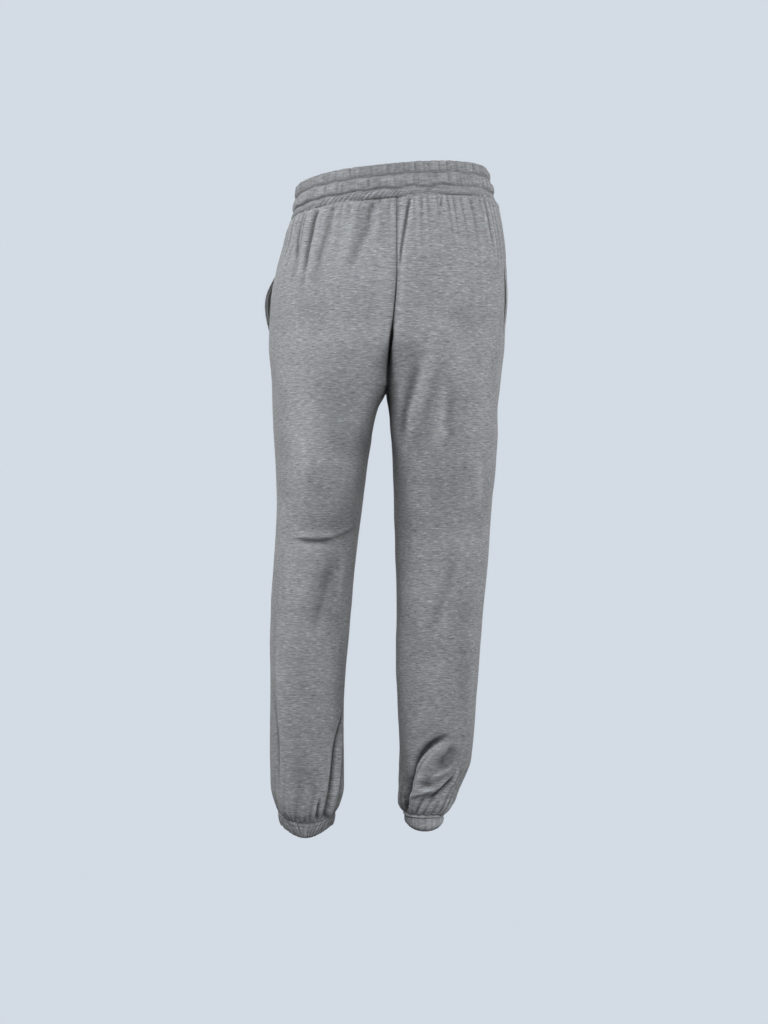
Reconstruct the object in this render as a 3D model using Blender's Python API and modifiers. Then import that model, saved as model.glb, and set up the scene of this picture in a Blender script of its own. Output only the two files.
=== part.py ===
"""Jogger sweatpants in the shape they have when worn, with nobody inside.

Metres, +Z up.  The origin is the middle of the waistband's top edge.  The wearer faces -Y, so the
wearer's left leg is at +X.  Every cloth piece is an open surface, lofted through sections worked
out from the tables below, with a Solidify modifier that gives it its thickness towards the inside.
"""
from collections import namedtuple
import math

import bmesh
import bpy
from mathutils import Vector
import numpy as np

# Thickness of the cloths, and the clearance that sewn pieces keep from each other.
LEG_CLOTH = 0.0018
BAND_CLOTH = 0.0036
CUFF_CLOTH = 0.0030
POCKET_CLOTH = 0.0010
SEAM_GAP = 0.0003
CUFF_GAP = 0.0007

# Heights of the main levels, below the top of the waistband.
PANEL_TOP = -0.0500
CROTCH = -0.3160
FORK_RISE = 0.100

# The waist is not level: it drops towards the wearer's left and its back edge is a little higher.
WAIST_ROLL = -0.084
WAIST_PITCH = 0.042
WAIST_TILT_ENDS = -0.230

# How full the round sections are: 2 is an ellipse, more is squarer.
HIP_FULLNESS = 2.30
LEG_FULLNESS = 2.15

# A horizontal section of one half of the garment, as it is worked out at a height: the X of its
# outer side, of its inner side and of its fullest place, and the Y of its middle, back, front and
# of the inner ends of its back and front.
Section = namedtuple(
    "Section", "centre outer inner middle_y back front back_end front_end fullness"
)

# How far the back and the front stand from the line between the two side seams.
Depth = namedtuple("Depth", "height back front")
BODY_DEPTH = (
    Depth(0.000, 0.1060, -0.1060),
    Depth(-0.050, 0.1120, -0.1100),
    Depth(-0.088, 0.1205, -0.1130),
    Depth(-0.124, 0.1290, -0.1155),
    Depth(-0.179, 0.1370, -0.1180),
    Depth(-0.252, 0.1350, -0.1190),
    Depth(-0.306, 0.1250, -0.1185),
    Depth(-0.342, 0.1180, -0.1175),
    Depth(-0.452, 0.0985, -0.1080),
    Depth(-0.542, 0.0800, -0.0980),
    Depth(-0.633, 0.0800, -0.0830),
    Depth(-0.785, 0.0790, -0.0670),
    Depth(-0.906, 0.0700, -0.0610),
    Depth(-0.930, 0.0620, -0.0520),
    Depth(-0.944, 0.0400, -0.0360),
)

# The plane between the two legs leans a little, because the wearer's weight is on the right leg.
Middle = namedtuple("Middle", "height x")
MIDDLE_PLANE = (
    Middle(0.000, -0.005),
    Middle(-0.150, -0.005),
    Middle(-0.240, 0.002),
    Middle(CROTCH, 0.009),
    Middle(-0.944, 0.033),
)

# Outer edge, inner edge (below the crotch) and side seam of each leg, and how far it stands back.
Leg = namedtuple("Leg", "height outer inner seam set_back")
LEFT_LEG = (
    Leg(0.000, 0.1440, 0.0000, 0.004, 0.000),
    Leg(-0.026, 0.1450, 0.0000, 0.004, 0.000),
    Leg(-0.050, 0.1520, 0.0000, 0.004, 0.000),
    Leg(-0.068, 0.1600, 0.0000, 0.004, 0.000),
    Leg(-0.088, 0.1660, 0.0000, 0.005, 0.000),
    Leg(-0.124, 0.1760, 0.0000, 0.006, 0.000),
    Leg(-0.179, 0.1845, 0.0000, 0.006, 0.000),
    Leg(-0.252, 0.1855, 0.0000, 0.006, 0.000),
    Leg(-0.316, 0.1825, 0.0092, 0.006, 0.000),
    Leg(-0.342, 0.1820, 0.0200, 0.006, 0.000),
    Leg(-0.397, 0.1795, 0.0333, 0.006, 0.000),
    Leg(-0.488, 0.1760, 0.0455, 0.006, 0.002),
    Leg(-0.542, 0.1785, 0.0525, 0.006, 0.003),
    Leg(-0.633, 0.1840, 0.0615, 0.006, 0.006),
    Leg(-0.785, 0.1855, 0.0730, 0.006, 0.010),
    Leg(-0.906, 0.1850, 0.0742, 0.005, 0.013),
    Leg(-0.932, 0.1775, 0.0820, 0.004, 0.014),
    Leg(-0.944, 0.1710, 0.0890, 0.003, 0.014),
)
RIGHT_LEG = (
    Leg(0.000, -0.1420, 0.0000, 0.034, 0.000),
    Leg(-0.026, -0.1455, 0.0000, 0.034, 0.000),
    Leg(-0.050, -0.1545, 0.0000, 0.036, 0.000),
    Leg(-0.088, -0.1650, 0.0000, 0.038, 0.000),
    Leg(-0.124, -0.1700, 0.0000, 0.040, 0.000),
    Leg(-0.179, -0.1705, 0.0000, 0.040, 0.000),
    Leg(-0.252, -0.1670, 0.0000, 0.038, 0.000),
    Leg(-0.316, -0.1605, 0.0088, 0.034, 0.000),
    Leg(-0.342, -0.1580, 0.0076, 0.032, 0.000),
    Leg(-0.397, -0.1560, 0.0020, 0.028, 0.000),
    Leg(-0.488, -0.1500, -0.0015, 0.022, 0.000),
    Leg(-0.542, -0.1455, -0.0032, 0.018, 0.000),
    Leg(-0.633, -0.1380, -0.0048, 0.012, -0.001),
    Leg(-0.785, -0.1262, -0.0070, 0.008, -0.002),
    Leg(-0.875, -0.1180, -0.0095, 0.006, -0.003),
    Leg(-0.910, -0.1040, -0.0095, 0.006, -0.003),
    Leg(-0.928, -0.0950, -0.0100, 0.005, -0.003),
    Leg(-0.938, -0.0770, -0.0175, 0.004, -0.003),
)

# The hems and cuffs slope down towards the back, where the cuff's lower edge is pinched narrower.
Hem = namedtuple("Hem", "end cuff_bottom slope slope_starts pinch")
HEMS = {
    "left": Hem(end=-0.944, cuff_bottom=-0.9690, slope=0.40, slope_starts=-0.850, pinch=0.60),
    "right": Hem(end=-0.938, cuff_bottom=-0.9645, slope=0.30, slope_starts=-0.850, pinch=0.30),
}
# How far a cuff is drawn in on each of its rows, from its top edge to its bottom edge.
CUFF_DRAWN_IN = (0.0012, 0.0002, 0.0000, 0.0006, 0.0022)
LEGS = {"left": LEFT_LEG, "right": RIGHT_LEG}
OUTWARD = {"left": 1.0, "right": -1.0}

# The waistband's profile: depth below its top edge, and how far the cloth stands out there.
BandRow = namedtuple("BandRow", "depth proud")
BAND_PROFILE = (
    BandRow(0.0000, 0.0016),
    BandRow(0.0030, 0.0036),
    BandRow(0.0110, 0.0040),
    BandRow(0.0165, 0.0014),
    BandRow(0.0220, 0.0046),
    BandRow(0.0310, 0.0046),
    BandRow(0.0360, 0.0010),
    BandRow(0.0430, 0.0024),
    BandRow(0.0494, 0.0010),
)

# Large soft folds: a line on a panel, from one point to another.  `from_seam` is how far the point
# lies from the side seam, around the leg, `wide` is the half width of the fold and `out` is how
# far it stands out, or in where it is negative.  A fold keeps FOLD_END_SHARE of that at its two
# ends, and dies away within FOLD_EDGE_CLEAR of a seam.
Fold = namedtuple("Fold", "from_seam_1 height_1 from_seam_2 height_2 wide out")
FOLDS = {
    "back_left": (
        Fold(0.160, -0.050, 0.207, -0.150, 0.022, -0.0030),
        Fold(0.136, -0.080, 0.210, -0.290, 0.035, 0.0030),
        Fold(0.070, -0.542, 0.165, -0.535, 0.022, -0.0045),
        Fold(0.155, -0.560, 0.115, -0.690, 0.024, -0.0035),
        Fold(0.130, -0.800, 0.148, -0.900, 0.024, -0.0040),
        Fold(0.085, -0.640, 0.062, -0.900, 0.026, 0.0030),
    ),
    "back_right": (
        Fold(0.185, -0.060, 0.222, -0.290, 0.020, 0.0035),
        Fold(0.175, -0.240, 0.235, -0.390, 0.026, -0.0035),
        Fold(0.140, -0.220, 0.205, -0.400, 0.026, 0.0035),
        Fold(0.115, -0.330, 0.130, -0.400, 0.026, -0.0030),
        Fold(0.115, -0.550, 0.140, -0.700, 0.028, -0.0035),
        Fold(0.085, -0.835, 0.175, -0.895, 0.024, -0.0045),
    ),
    "front_left": (
        Fold(0.190, -0.310, 0.290, -0.360, 0.026, -0.0035),
        Fold(0.070, -0.520, 0.175, -0.545, 0.028, 0.0035),
        Fold(0.075, -0.840, 0.155, -0.870, 0.026, -0.0035),
    ),
    "front_right": (
        Fold(0.190, -0.310, 0.290, -0.355, 0.026, -0.0035),
        Fold(0.070, -0.535, 0.170, -0.520, 0.028, 0.0035),
        Fold(0.060, -0.840, 0.150, -0.865, 0.026, -0.0035),
    ),
}
FOLD_END_SHARE = 0.35
FOLD_EDGE_CLEAR = 0.030

# The side pockets' mouths are in the side seams, from the top of the bags down to MOUTH_BOTTOM.
# Their front edges stand away from the back panels below GAPE_TOP, the left one visibly.
MOUTH_BOTTOM = -0.232
GAPE_TOP = -0.135
GAPE_REACH = 0.045
GAPES = {"left": 0.0095, "right": 0.0025}

# The pocket bags: their top and bottom, the hollow between their layers, and the rounded corner.
BAG_TOP = -0.060
BAG_BOTTOM = -0.300
BAG_HOLLOW = 0.0140
BAG_CLEAR = 0.0010
BAG_COLUMNS = 7
BAG_CORNER = 0.60

# Grids.  A panel's rows are close together at the crotch and at the hem, and it has a narrow
# column along each seam.
HIP_ROWS = tuple(np.linspace(PANEL_TOP, -0.216, 7))
FORK_ROWS = (-0.240, -0.262, -0.281, -0.296, -0.307, -0.313, CROTCH)
LEG_ROWS = tuple(np.linspace(-0.334, -0.850, 13))
ANKLE_ROWS = (-0.880, -0.904, -0.920, -0.932)
PANEL_COLUMNS = 11
EDGE_COLUMN = 0.012
BAND_COLUMNS = 44
CUFF_COLUMNS = 24
CURVE_SAMPLES = 241
TANGENT_REACH = 0.004

HEATHER_GREY = (0.285, 0.295, 0.310, 1.0)
BAND_GREY = (0.250, 0.262, 0.280, 1.0)
POCKET_GREY = (0.230, 0.240, 0.255, 1.0)
CLOTH_ROUGHNESS = 0.92


def read_table(table, column, height):
    """A column of a table at a height, on a smooth curve that never overshoots its rows."""
    rows = sorted(table, key=lambda row: row.height)
    heights = np.array([row.height for row in rows])
    values = np.array([getattr(row, column) for row in rows])
    steps = np.diff(heights)
    slopes = np.diff(values) / steps
    tangents = np.zeros(len(rows))
    for i in range(1, len(rows) - 1):
        if slopes[i - 1] * slopes[i] > 0:
            tangents[i] = 2 * slopes[i - 1] * slopes[i] / (slopes[i - 1] + slopes[i])
    tangents[0] = slopes[0]
    tangents[-1] = slopes[-1]
    height = min(max(height, heights[0]), heights[-1])
    i = min(int(np.searchsorted(heights, height, side="right")) - 1, len(steps) - 1)
    t = (height - heights[i]) / steps[i]
    return (
        values[i] * (1 + 2 * t) * (1 - t) ** 2
        + tangents[i] * steps[i] * t * (1 - t) ** 2
        + values[i + 1] * t * t * (3 - 2 * t)
        + tangents[i + 1] * steps[i] * t * t * (t - 1)
    )


def ease(value):
    """0 below 0, 1 above 1, and a smooth step between them."""
    value = np.clip(value, 0.0, 1.0)
    return value * value * (3 - 2 * value)


def section_point(section, angle):
    """X and Y on a round section.

    Angle 0 is its outer side, pi/2 its back, pi or -pi its inner side and -pi/2 its front.
    """
    cosine = np.cos(angle)
    sine = np.sin(angle)
    across = np.abs(cosine) ** (2 / section.fullness)
    along = np.abs(sine) ** (2 / section.fullness)
    outside = cosine >= 0
    behind = sine >= 0
    edge = np.where(outside, section.outer, section.inner)
    depth = np.where(behind, section.back, section.front)
    inner_end = np.where(behind, section.back_end, section.front_end)
    base = np.where(outside, section.middle_y, inner_end)
    return section.centre + (edge - section.centre) * across, base + (depth - base) * along


def fork_shares(height):
    """How far the two halves have joined at a height, from 0 at the crotch to 1 above the fork.

    The first is for the depth of the inner edges, which makes the U of the rise, and the second
    for the width of the valley between the two halves.
    """
    up = min(max((height - CROTCH) / FORK_RISE, 0.0), 1.0)
    return math.sqrt(1 - (1 - up) ** 2), float(ease(up))


def leg_section(side, height):
    """One half of the garment at a height.

    Below the crotch it is a closed ring.  Above it the inner ends of its back and its front part,
    which makes the U of the rise, while the valley between the two halves narrows and closes.
    """
    leg = LEGS[side]
    middle_x = read_table(MIDDLE_PLANE, "x", height) + OUTWARD[side] * SEAM_GAP / 2
    set_back = read_table(leg, "set_back", height)
    outer = read_table(leg, "outer", height)
    inner = middle_x if height >= CROTCH else read_table(leg, "inner", height)
    back = read_table(BODY_DEPTH, "back", height) + set_back
    front = read_table(BODY_DEPTH, "front", height) + set_back
    joined, narrowed = fork_shares(height)
    return Section(
        centre=(outer + inner) / 2 * (1 - narrowed) + middle_x * narrowed,
        outer=outer,
        inner=inner,
        middle_y=set_back,
        back=back,
        front=front,
        back_end=set_back + (back - set_back) * joined,
        front_end=set_back + (front - set_back) * joined,
        fullness=LEG_FULLNESS + (HIP_FULLNESS - LEG_FULLNESS) * narrowed,
    )


def tilt(side, height, x, y):
    """How far the cloth at a nominal height is lifted by the waist's tilt or lowered at the hem."""
    waist = ease((height - WAIST_TILT_ENDS) / (PANEL_TOP - WAIST_TILT_ENDS))
    lift = waist * (WAIST_ROLL * x + WAIST_PITCH * y)
    if side:
        hem = HEMS[side]
        low = ease((hem.slope_starts - height) / (hem.slope_starts - hem.end))
        set_back = read_table(LEGS[side], "set_back", height)
        lift = lift - low * hem.slope * (y - set_back)
    return lift


def panel_outline(side, face, height):
    """A panel's curve at one height, from the side seam to the inner edge.

    Gives finely spaced X and Y, the way run along the curve, and the place along it that the
    middle column of the panel's grid follows: the fullest place of a leg, and half way across
    the hip.
    """
    section = leg_section(side, height)
    seam = read_table(LEGS[side], "seam", height) / (section.back - section.middle_y)
    start = math.asin(seam ** (section.fullness / 2))
    turn = 1.0 if face == "back" else -1.0
    angle = np.linspace(start, turn * math.pi, CURVE_SAMPLES)
    x, y = section_point(section, angle)
    run = np.concatenate(([0.0], np.cumsum(np.hypot(np.diff(x), np.diff(y)))))
    quarter = float(np.interp(math.pi / 2, turn * angle, run))
    return x, y, run, quarter * (1 - fork_shares(height)[1] / 2)


def fold_offset(panel, from_seam, width, height):
    """How far the folds push the cloth out at one place of a panel."""
    offset = 0.0
    for fold in FOLDS[panel]:
        start = np.array((fold.from_seam_1, fold.height_1))
        run = np.array((fold.from_seam_2, fold.height_2)) - start
        place = np.array((from_seam, height)) - start
        along = float(np.clip(place @ run / (run @ run), 0.0, 1.0))
        distance = float(np.linalg.norm(place - along * run))
        ends = FOLD_END_SHARE + (1 - FOLD_END_SHARE) * math.sin(math.pi * along)
        offset += fold.out * ends * math.exp(-((distance / fold.wide) ** 2))
    return offset * float(ease(min(from_seam, width - from_seam) / FOLD_EDGE_CLEAR))


def mouth_gape(side, height):
    """How far the front edge of a side pocket stands out from the side seam."""
    up = (height - MOUTH_BOTTOM) / (GAPE_TOP - MOUTH_BOTTOM)
    return GAPES[side] * math.sin(math.pi * up) if 0 < up < 1 else 0.0


def panel_point(side, face, height, across, inward=0.0):
    """A point of a panel's outer surface, or of a surface that lies inward of it."""
    x, y, run, middle = panel_outline(side, face, height)
    width = run[-1] - (SEAM_GAP / 2 if height <= CROTCH else 0.0)
    place = np.interp(across, (0.0, 0.5, 1.0), (SEAM_GAP / 2, middle, width))
    px = np.interp(place, run, x)
    py = np.interp(place, run, y)
    before = place - TANGENT_REACH
    after = place + TANGENT_REACH
    tangent_x = np.interp(after, run, x) - np.interp(before, run, x)
    tangent_y = np.interp(after, run, y) - np.interp(before, run, y)
    turn = OUTWARD[side] * (1.0 if face == "back" else -1.0)
    normal = Vector((tangent_y * turn, -tangent_x * turn, 0.0)).normalized()
    offset = fold_offset(face + "_" + side, place, width, height) - inward
    if face == "front":
        offset += mouth_gape(side, height) * float(ease(1 - place / GAPE_REACH))
    px += normal.x * offset
    py += normal.y * offset
    return Vector((px, py, height + tilt(side, height, px, py)))


def panel_heights(side):
    """The heights of a panel's rows, from the waist seam to the cuff."""
    return (*HIP_ROWS, *FORK_ROWS, *LEG_ROWS, *ANKLE_ROWS, HEMS[side].end)


def panel_columns():
    """The places of a panel's columns, from 0 at the side seam to 1 at the inner edge."""
    inside = np.linspace(0.0, 1.0, PANEL_COLUMNS + 1)[1:-1]
    return (0.0, EDGE_COLUMN, *inside, 1 - EDGE_COLUMN, 1.0)


def grid_mesh(name, rows, closed, outward_at):
    """A mesh of quads through rows of points, facing away from the point outward_at."""
    mesh = bpy.data.meshes.new(name)
    shape = bmesh.new()
    lines = [[shape.verts.new(point) for point in row] for row in rows]
    count = len(lines[0])
    for upper, lower in zip(lines, lines[1:]):
        for i in range(count if closed else count - 1):
            j = (i + 1) % count
            shape.faces.new((upper[i], upper[j], lower[j], lower[i]))
    shape.normal_update()
    outside = sum(
        face.normal.dot(face.calc_center_median() - outward_at) * face.calc_area()
        for face in shape.faces
    )
    if outside < 0:
        bmesh.ops.reverse_faces(shape, faces=shape.faces[:])
    shape.to_mesh(mesh)
    shape.free()
    mesh.shade_smooth()
    return mesh


def add_cloth(collection, name, mesh, thickness, material):
    """An object whose surface has a thickness towards the inside."""
    piece = bpy.data.objects.new(name, mesh)
    piece.data.materials.append(material)
    shell = piece.modifiers.new("Thickness", "SOLIDIFY")
    shell.thickness = thickness
    shell.offset = -1.0
    collection.objects.link(piece)
    return piece


def cloth_material(name, colour):
    """A matt knitted cloth."""
    material = bpy.data.materials.new(name)
    material.use_nodes = True
    shader = material.node_tree.nodes["Principled BSDF"]
    shader.inputs["Base Color"].default_value = colour
    shader.inputs["Roughness"].default_value = CLOTH_ROUGHNESS
    shader.inputs["Metallic"].default_value = 0.0
    return material


def add_panel(collection, side, face, material):
    """A front or back panel of one leg, from the waist seam to the cuff."""
    columns = panel_columns()
    rows = [
        [panel_point(side, face, height, across) for across in columns]
        for height in panel_heights(side)
    ]
    name = face + "_" + side
    centre_x = (rows[-1][0].x + rows[-1][-1].x) / 2
    mesh = grid_mesh(name, rows, False, Vector((centre_x, 0.0, -0.5)))
    return add_cloth(collection, name, mesh, LEG_CLOTH, material)


def waist_point(depth, proud, angle):
    """A point of the waistband, at a depth below its top edge."""
    side = "left" if math.cos(angle) > 0 else "right"
    section = leg_section(side, -depth)
    section = section._replace(
        outer=section.outer + OUTWARD[side] * proud,
        back=section.back + proud,
        front=section.front - proud,
    )
    x, y = section_point(section, angle if side == "left" else math.pi - angle)
    return Vector((x, y, -depth + tilt("", PANEL_TOP, x, y)))


def add_waistband(collection, material):
    """The elasticated band: two stitched channels, and a shirred strip below them."""
    angles = [2 * math.pi * i / BAND_COLUMNS for i in range(BAND_COLUMNS)]
    rows = [[waist_point(row.depth, row.proud, angle) for angle in angles] for row in BAND_PROFILE]
    mesh = grid_mesh("waistband", rows, True, Vector((0.0, 0.0, -0.025)))
    return add_cloth(collection, "waistband", mesh, BAND_CLOTH, material)


def cuff_point(side, height, angle, drawn_in):
    """A point of a cuff, which carries on from the end of the leg's sections."""
    hem = HEMS[side]
    section = leg_section(side, hem.end)
    low = (hem.end - height) / (hem.end - hem.cuff_bottom)
    pinch = 1 - hem.pinch * low * max(0.0, math.sin(angle))
    x, y = section_point(section, angle)
    x = section.centre + (x - section.centre) * pinch
    inward = Vector((section.centre - x, section.middle_y - y, 0.0)).normalized() * drawn_in
    return Vector((x, y, height - hem.slope * (y - section.middle_y))) + inward


def add_cuff(collection, side, material):
    """A gathered elastic cuff, a little narrower at its top and bottom edges."""
    hem = HEMS[side]
    heights = np.linspace(hem.end - CUFF_GAP, hem.cuff_bottom, len(CUFF_DRAWN_IN))
    angles = [2 * math.pi * i / CUFF_COLUMNS for i in range(CUFF_COLUMNS)]
    rows = [
        [cuff_point(side, height, angle, drawn_in) for angle in angles]
        for height, drawn_in in zip(heights, CUFF_DRAWN_IN)
    ]
    name = "cuff_" + side
    centre = sum(rows[2], Vector()) / CUFF_COLUMNS
    mesh = grid_mesh(name, rows, True, centre)
    return add_cloth(collection, name, mesh, CUFF_CLOTH, material)


def add_pocket(collection, side, material):
    """A pocket bag inside the front panel, on the panel's own rows and columns.

    Its two layers join all round, except at the mouth in the side seam.
    """
    near_layer = LEG_CLOTH + BAG_CLEAR
    far_layer = near_layer + POCKET_CLOTH + BAG_HOLLOW
    heights = [height for height in panel_heights(side) if BAG_BOTTOM <= height <= BAG_TOP]
    columns = panel_columns()[:BAG_COLUMNS]
    shape = bmesh.new()
    lines = []
    for i, height in enumerate(heights):
        low = i / (len(heights) - 1)
        out, home = (
            [panel_point(side, "front", height, across, inward) for across in columns]
            for inward in (near_layer, far_layer)
        )
        for layer in (out, home):
            layer[-1] = layer[-1].lerp(layer[-2], BAG_CORNER * low**4)
        lines.append([shape.verts.new(point) for point in (*out, *reversed(home))])
    last = 2 * BAG_COLUMNS - 1
    for upper, lower in zip(lines, lines[1:]):
        for i in range(last):
            shape.faces.new((upper[i], upper[i + 1], lower[i + 1], lower[i]))
    for line in (lines[0], lines[-1]):
        for i in range(BAG_COLUMNS - 1):
            shape.faces.new((line[i], line[i + 1], line[last - 1 - i], line[last - i]))
    for height, upper, lower in zip(heights, lines, lines[1:]):
        if height < MOUTH_BOTTOM:
            shape.faces.new((upper[0], upper[last], lower[last], lower[0]))
    bmesh.ops.recalc_face_normals(shape, faces=shape.faces[:])
    name = "pocket_" + side
    mesh = bpy.data.meshes.new(name)
    shape.to_mesh(mesh)
    shape.free()
    mesh.shade_smooth()
    return add_cloth(collection, name, mesh, POCKET_CLOTH, material)


def main():
    for old in list(bpy.data.objects):
        bpy.data.objects.remove(old)
    collection = bpy.data.collections.new("jogger_sweatpants")
    bpy.context.scene.collection.children.link(collection)
    leg_cloth = cloth_material("heather_fleece", HEATHER_GREY)
    band_cloth = cloth_material("heather_elastic_band", BAND_GREY)
    pocket_cloth = cloth_material("pocket_jersey", POCKET_GREY)
    for side in ("left", "right"):
        for face in ("back", "front"):
            add_panel(collection, side, face, leg_cloth)
        add_cuff(collection, side, band_cloth)
        add_pocket(collection, side, pocket_cloth)
    add_waistband(collection, band_cloth)


main()
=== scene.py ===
"""Jogger sweatpants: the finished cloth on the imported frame, worn shape with nobody inside.

Metres, in the frame's axes: +Z up, the wearer faces -Y and the wearer's left leg is at +X.  Each
cloth piece is lofted through the same sections as the frame's solid.  On that form lie the folds,
gathers, seams and pleats of the real cloth.
"""
from collections import namedtuple
import math

import bmesh
import bpy
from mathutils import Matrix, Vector
import numpy as np


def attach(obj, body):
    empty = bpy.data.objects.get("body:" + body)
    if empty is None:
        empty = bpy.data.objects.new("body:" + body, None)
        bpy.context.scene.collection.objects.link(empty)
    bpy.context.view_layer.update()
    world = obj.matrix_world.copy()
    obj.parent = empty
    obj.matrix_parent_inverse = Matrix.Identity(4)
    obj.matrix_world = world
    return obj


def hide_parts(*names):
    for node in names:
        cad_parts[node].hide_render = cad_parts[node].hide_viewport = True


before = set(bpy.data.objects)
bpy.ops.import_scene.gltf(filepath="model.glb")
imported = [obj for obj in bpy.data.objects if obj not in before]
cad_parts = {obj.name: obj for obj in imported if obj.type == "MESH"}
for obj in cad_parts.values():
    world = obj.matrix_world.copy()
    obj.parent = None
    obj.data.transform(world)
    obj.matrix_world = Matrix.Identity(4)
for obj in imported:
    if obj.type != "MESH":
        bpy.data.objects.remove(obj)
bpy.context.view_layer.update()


def in_millimetres(columns, *rows):
    """A table with named columns, from rows of sizes in millimetres."""
    return [columns(*(size / 1000 for size in row)) for row in rows]


# === The form: the frame's own sections ===

# Thickness of the cloths, and the gaps where pieces are sewn together.
LEG_CLOTH = 0.0018
BAND_CLOTH = 0.0036
CUFF_CLOTH = 0.0030
POCKET_CLOTH = 0.0010
SEAM_GAP = 0.0003
CUFF_GAP = 0.0007

# Heights of the waist seam and the crotch, over what height the two halves join above it, and how
# much squarer the inner corners of the sections are near it.
PANEL_TOP = -0.0500
CROTCH = -0.3160
FORK_RISE = 0.100
INNER_CORNER = 4.0
INNER_CORNER_REACH = 0.070
# The waist's tilt to the side and from front to back, and the height where it ends.
WAIST_ROLL = -0.084
WAIST_PITCH = 0.042
WAIST_TILT_ENDS = -0.230
# How full the sections' curves are; at 2 they would be ellipses.
HIP_FULLNESS = 2.30
LEG_FULLNESS = 2.15

# One half of the garment at a height: X of its edges, and Y of its middle, back and front and of
# the ends of its back and front at the inner edge.
Section = namedtuple(
    "Section", "centre outer inner middle_y back front back_end front_end fullness inner_fullness"
)

# The outline from the side.
Depth = namedtuple("Depth", "height back front")
BODY_DEPTH = in_millimetres(
    Depth,
    (0, 106, -106), (-50, 112, -110), (-88, 120.5, -113), (-124, 129, -115.5), (-179, 137, -118),
    (-252, 135, -119), (-306, 125, -118.5), (-342, 118, -117.5), (-452, 98.5, -108),
    (-542, 80, -98), (-633, 80, -83), (-785, 79, -67), (-906, 70, -61), (-930, 64, -54),
    (-944, 50, -44),
)

# Where the centre seams run.
Middle = namedtuple("Middle", "height x")
MIDDLE_PLANE = in_millimetres(
    Middle, (0, -5), (-150, -5), (-240, 2), (CROTCH * 1000, 9), (-944, 33)
)

# The outline from behind.  `seam` is how far the side seam runs behind the leg's middle, and
# `set_back` how far back the leg's middle is.
Leg = namedtuple("Leg", "height outer inner seam set_back")
LEFT_LEG = in_millimetres(
    Leg,
    (0, 144, 0, 4, 0),
    (-26, 145, 0, 4, 0),
    (-50, 152, 0, 4, 0),
    (-68, 160, 0, 4, 0),
    (-88, 166, 0, 5, 0),
    (-124, 176, 0, 6, 0),
    (-179, 184.5, 0, 6, 0),
    (-252, 185.5, 0, 6, 0),
    (-316, 182.5, 12.4, 6, 0),
    (-324, 182.3, 15.2, 6, 0),
    (-334, 182.1, 20, 6, 0),
    (-348, 182, 25, 6, 0),
    (-370, 181, 29.8, 6, 0),
    (-397, 179.5, 33.3, 6, 0),
    (-488, 176, 45.5, 6, 2),
    (-542, 178.5, 52.5, 6, 3),
    (-633, 184, 61.5, 6, 6),
    (-785, 185.5, 73, 6, 10),
    (-906, 185, 74.2, 5, 13),
    (-932, 177.5, 82, 4, 14),
    (-944, 171, 89, 3, 14),
)
RIGHT_LEG = in_millimetres(
    Leg,
    (0, -142, 0, 34, 0),
    (-26, -145.5, 0, 34, 0),
    (-50, -154.5, 0, 36, 0),
    (-88, -165, 0, 38, 0),
    (-124, -170, 0, 40, 0),
    (-179, -170.5, 0, 40, 0),
    (-252, -167, 0, 38, 0),
    (-316, -160.5, 8, 34, 0),
    (-324, -159.7, 7.5, 33, 0),
    (-342, -158, 5, 32, 0),
    (-397, -156, 2, 28, 0),
    (-488, -150, -1.5, 22, 0),
    (-542, -145.5, -3.2, 18, 0),
    (-633, -138, -4.8, 12, -1),
    (-785, -126.2, -7, 8, -2),
    (-875, -118, -9.5, 6, -3),
    (-910, -104, -9.5, 6, -3),
    (-928, -92.5, -10, 5, -3),
    (-938, -77, -17.5, 4, -3),
)

# How far the cloth at a leg's end hangs below its nominal height: `level` all round, `slope` more
# at the back (and less in front), and `tip` more towards the middle of the back.
HemLine = namedtuple("HemLine", "level slope tip power")
Hem = namedtuple("Hem", "end cuff_bottom drop_starts pinch seam edge")
HEMS = {
    "left": Hem(
        end=-0.944,
        cuff_bottom=-0.9690,
        drop_starts=-0.850,
        pinch=0.60,
        seam=HemLine(0.0, 0.0160, 0.0, 2),
        edge=HemLine(0.0, 0.0160, -0.0045, 4),
    ),
    "right": Hem(
        end=-0.938,
        cuff_bottom=-0.9645,
        drop_starts=-0.918,
        pinch=0.12,
        seam=HemLine(0.0150, 0.0, -0.0050, 2),
        edge=HemLine(0.0058, 0.0, 0.0028, 2),
    ),
}
LEGS = {"left": LEFT_LEG, "right": RIGHT_LEG}
OUTWARD = {"left": 1.0, "right": -1.0}
BACKWARD = {"back": 1.0, "front": -1.0}

# The big soft folds, as the frame has them.
SoftFold = namedtuple("SoftFold", "from_seam_1 height_1 from_seam_2 height_2 wide out")
SOFT_FOLDS = {
    "back_left": in_millimetres(
        SoftFold,
        (160, -50, 207, -150, 22, -3),
        (136, -80, 210, -290, 35, 3),
        (70, -542, 165, -535, 22, -4.5),
        (155, -560, 115, -690, 24, -3.5),
        (130, -800, 148, -900, 24, -4),
        (85, -640, 62, -900, 26, 3),
    ),
    "back_right": in_millimetres(
        SoftFold,
        (185, -60, 222, -290, 20, 3.5),
        (175, -240, 235, -390, 26, -3.5),
        (140, -220, 205, -400, 26, 3.5),
        (115, -330, 130, -400, 26, -3),
        (115, -550, 140, -700, 28, -3.5),
        (85, -835, 175, -895, 24, -4.5),
    ),
    "front_left": in_millimetres(
        SoftFold,
        (190, -310, 290, -360, 26, -3.5),
        (70, -520, 175, -545, 28, 3.5),
        (75, -840, 155, -870, 26, -3.5),
    ),
    "front_right": in_millimetres(
        SoftFold,
        (190, -310, 290, -355, 26, -3.5),
        (70, -535, 170, -520, 28, 3.5),
        (60, -840, 150, -865, 26, -3.5),
    ),
}
FOLD_END_SHARE = 0.35
FOLD_EDGE_CLEAR = 0.030

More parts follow.
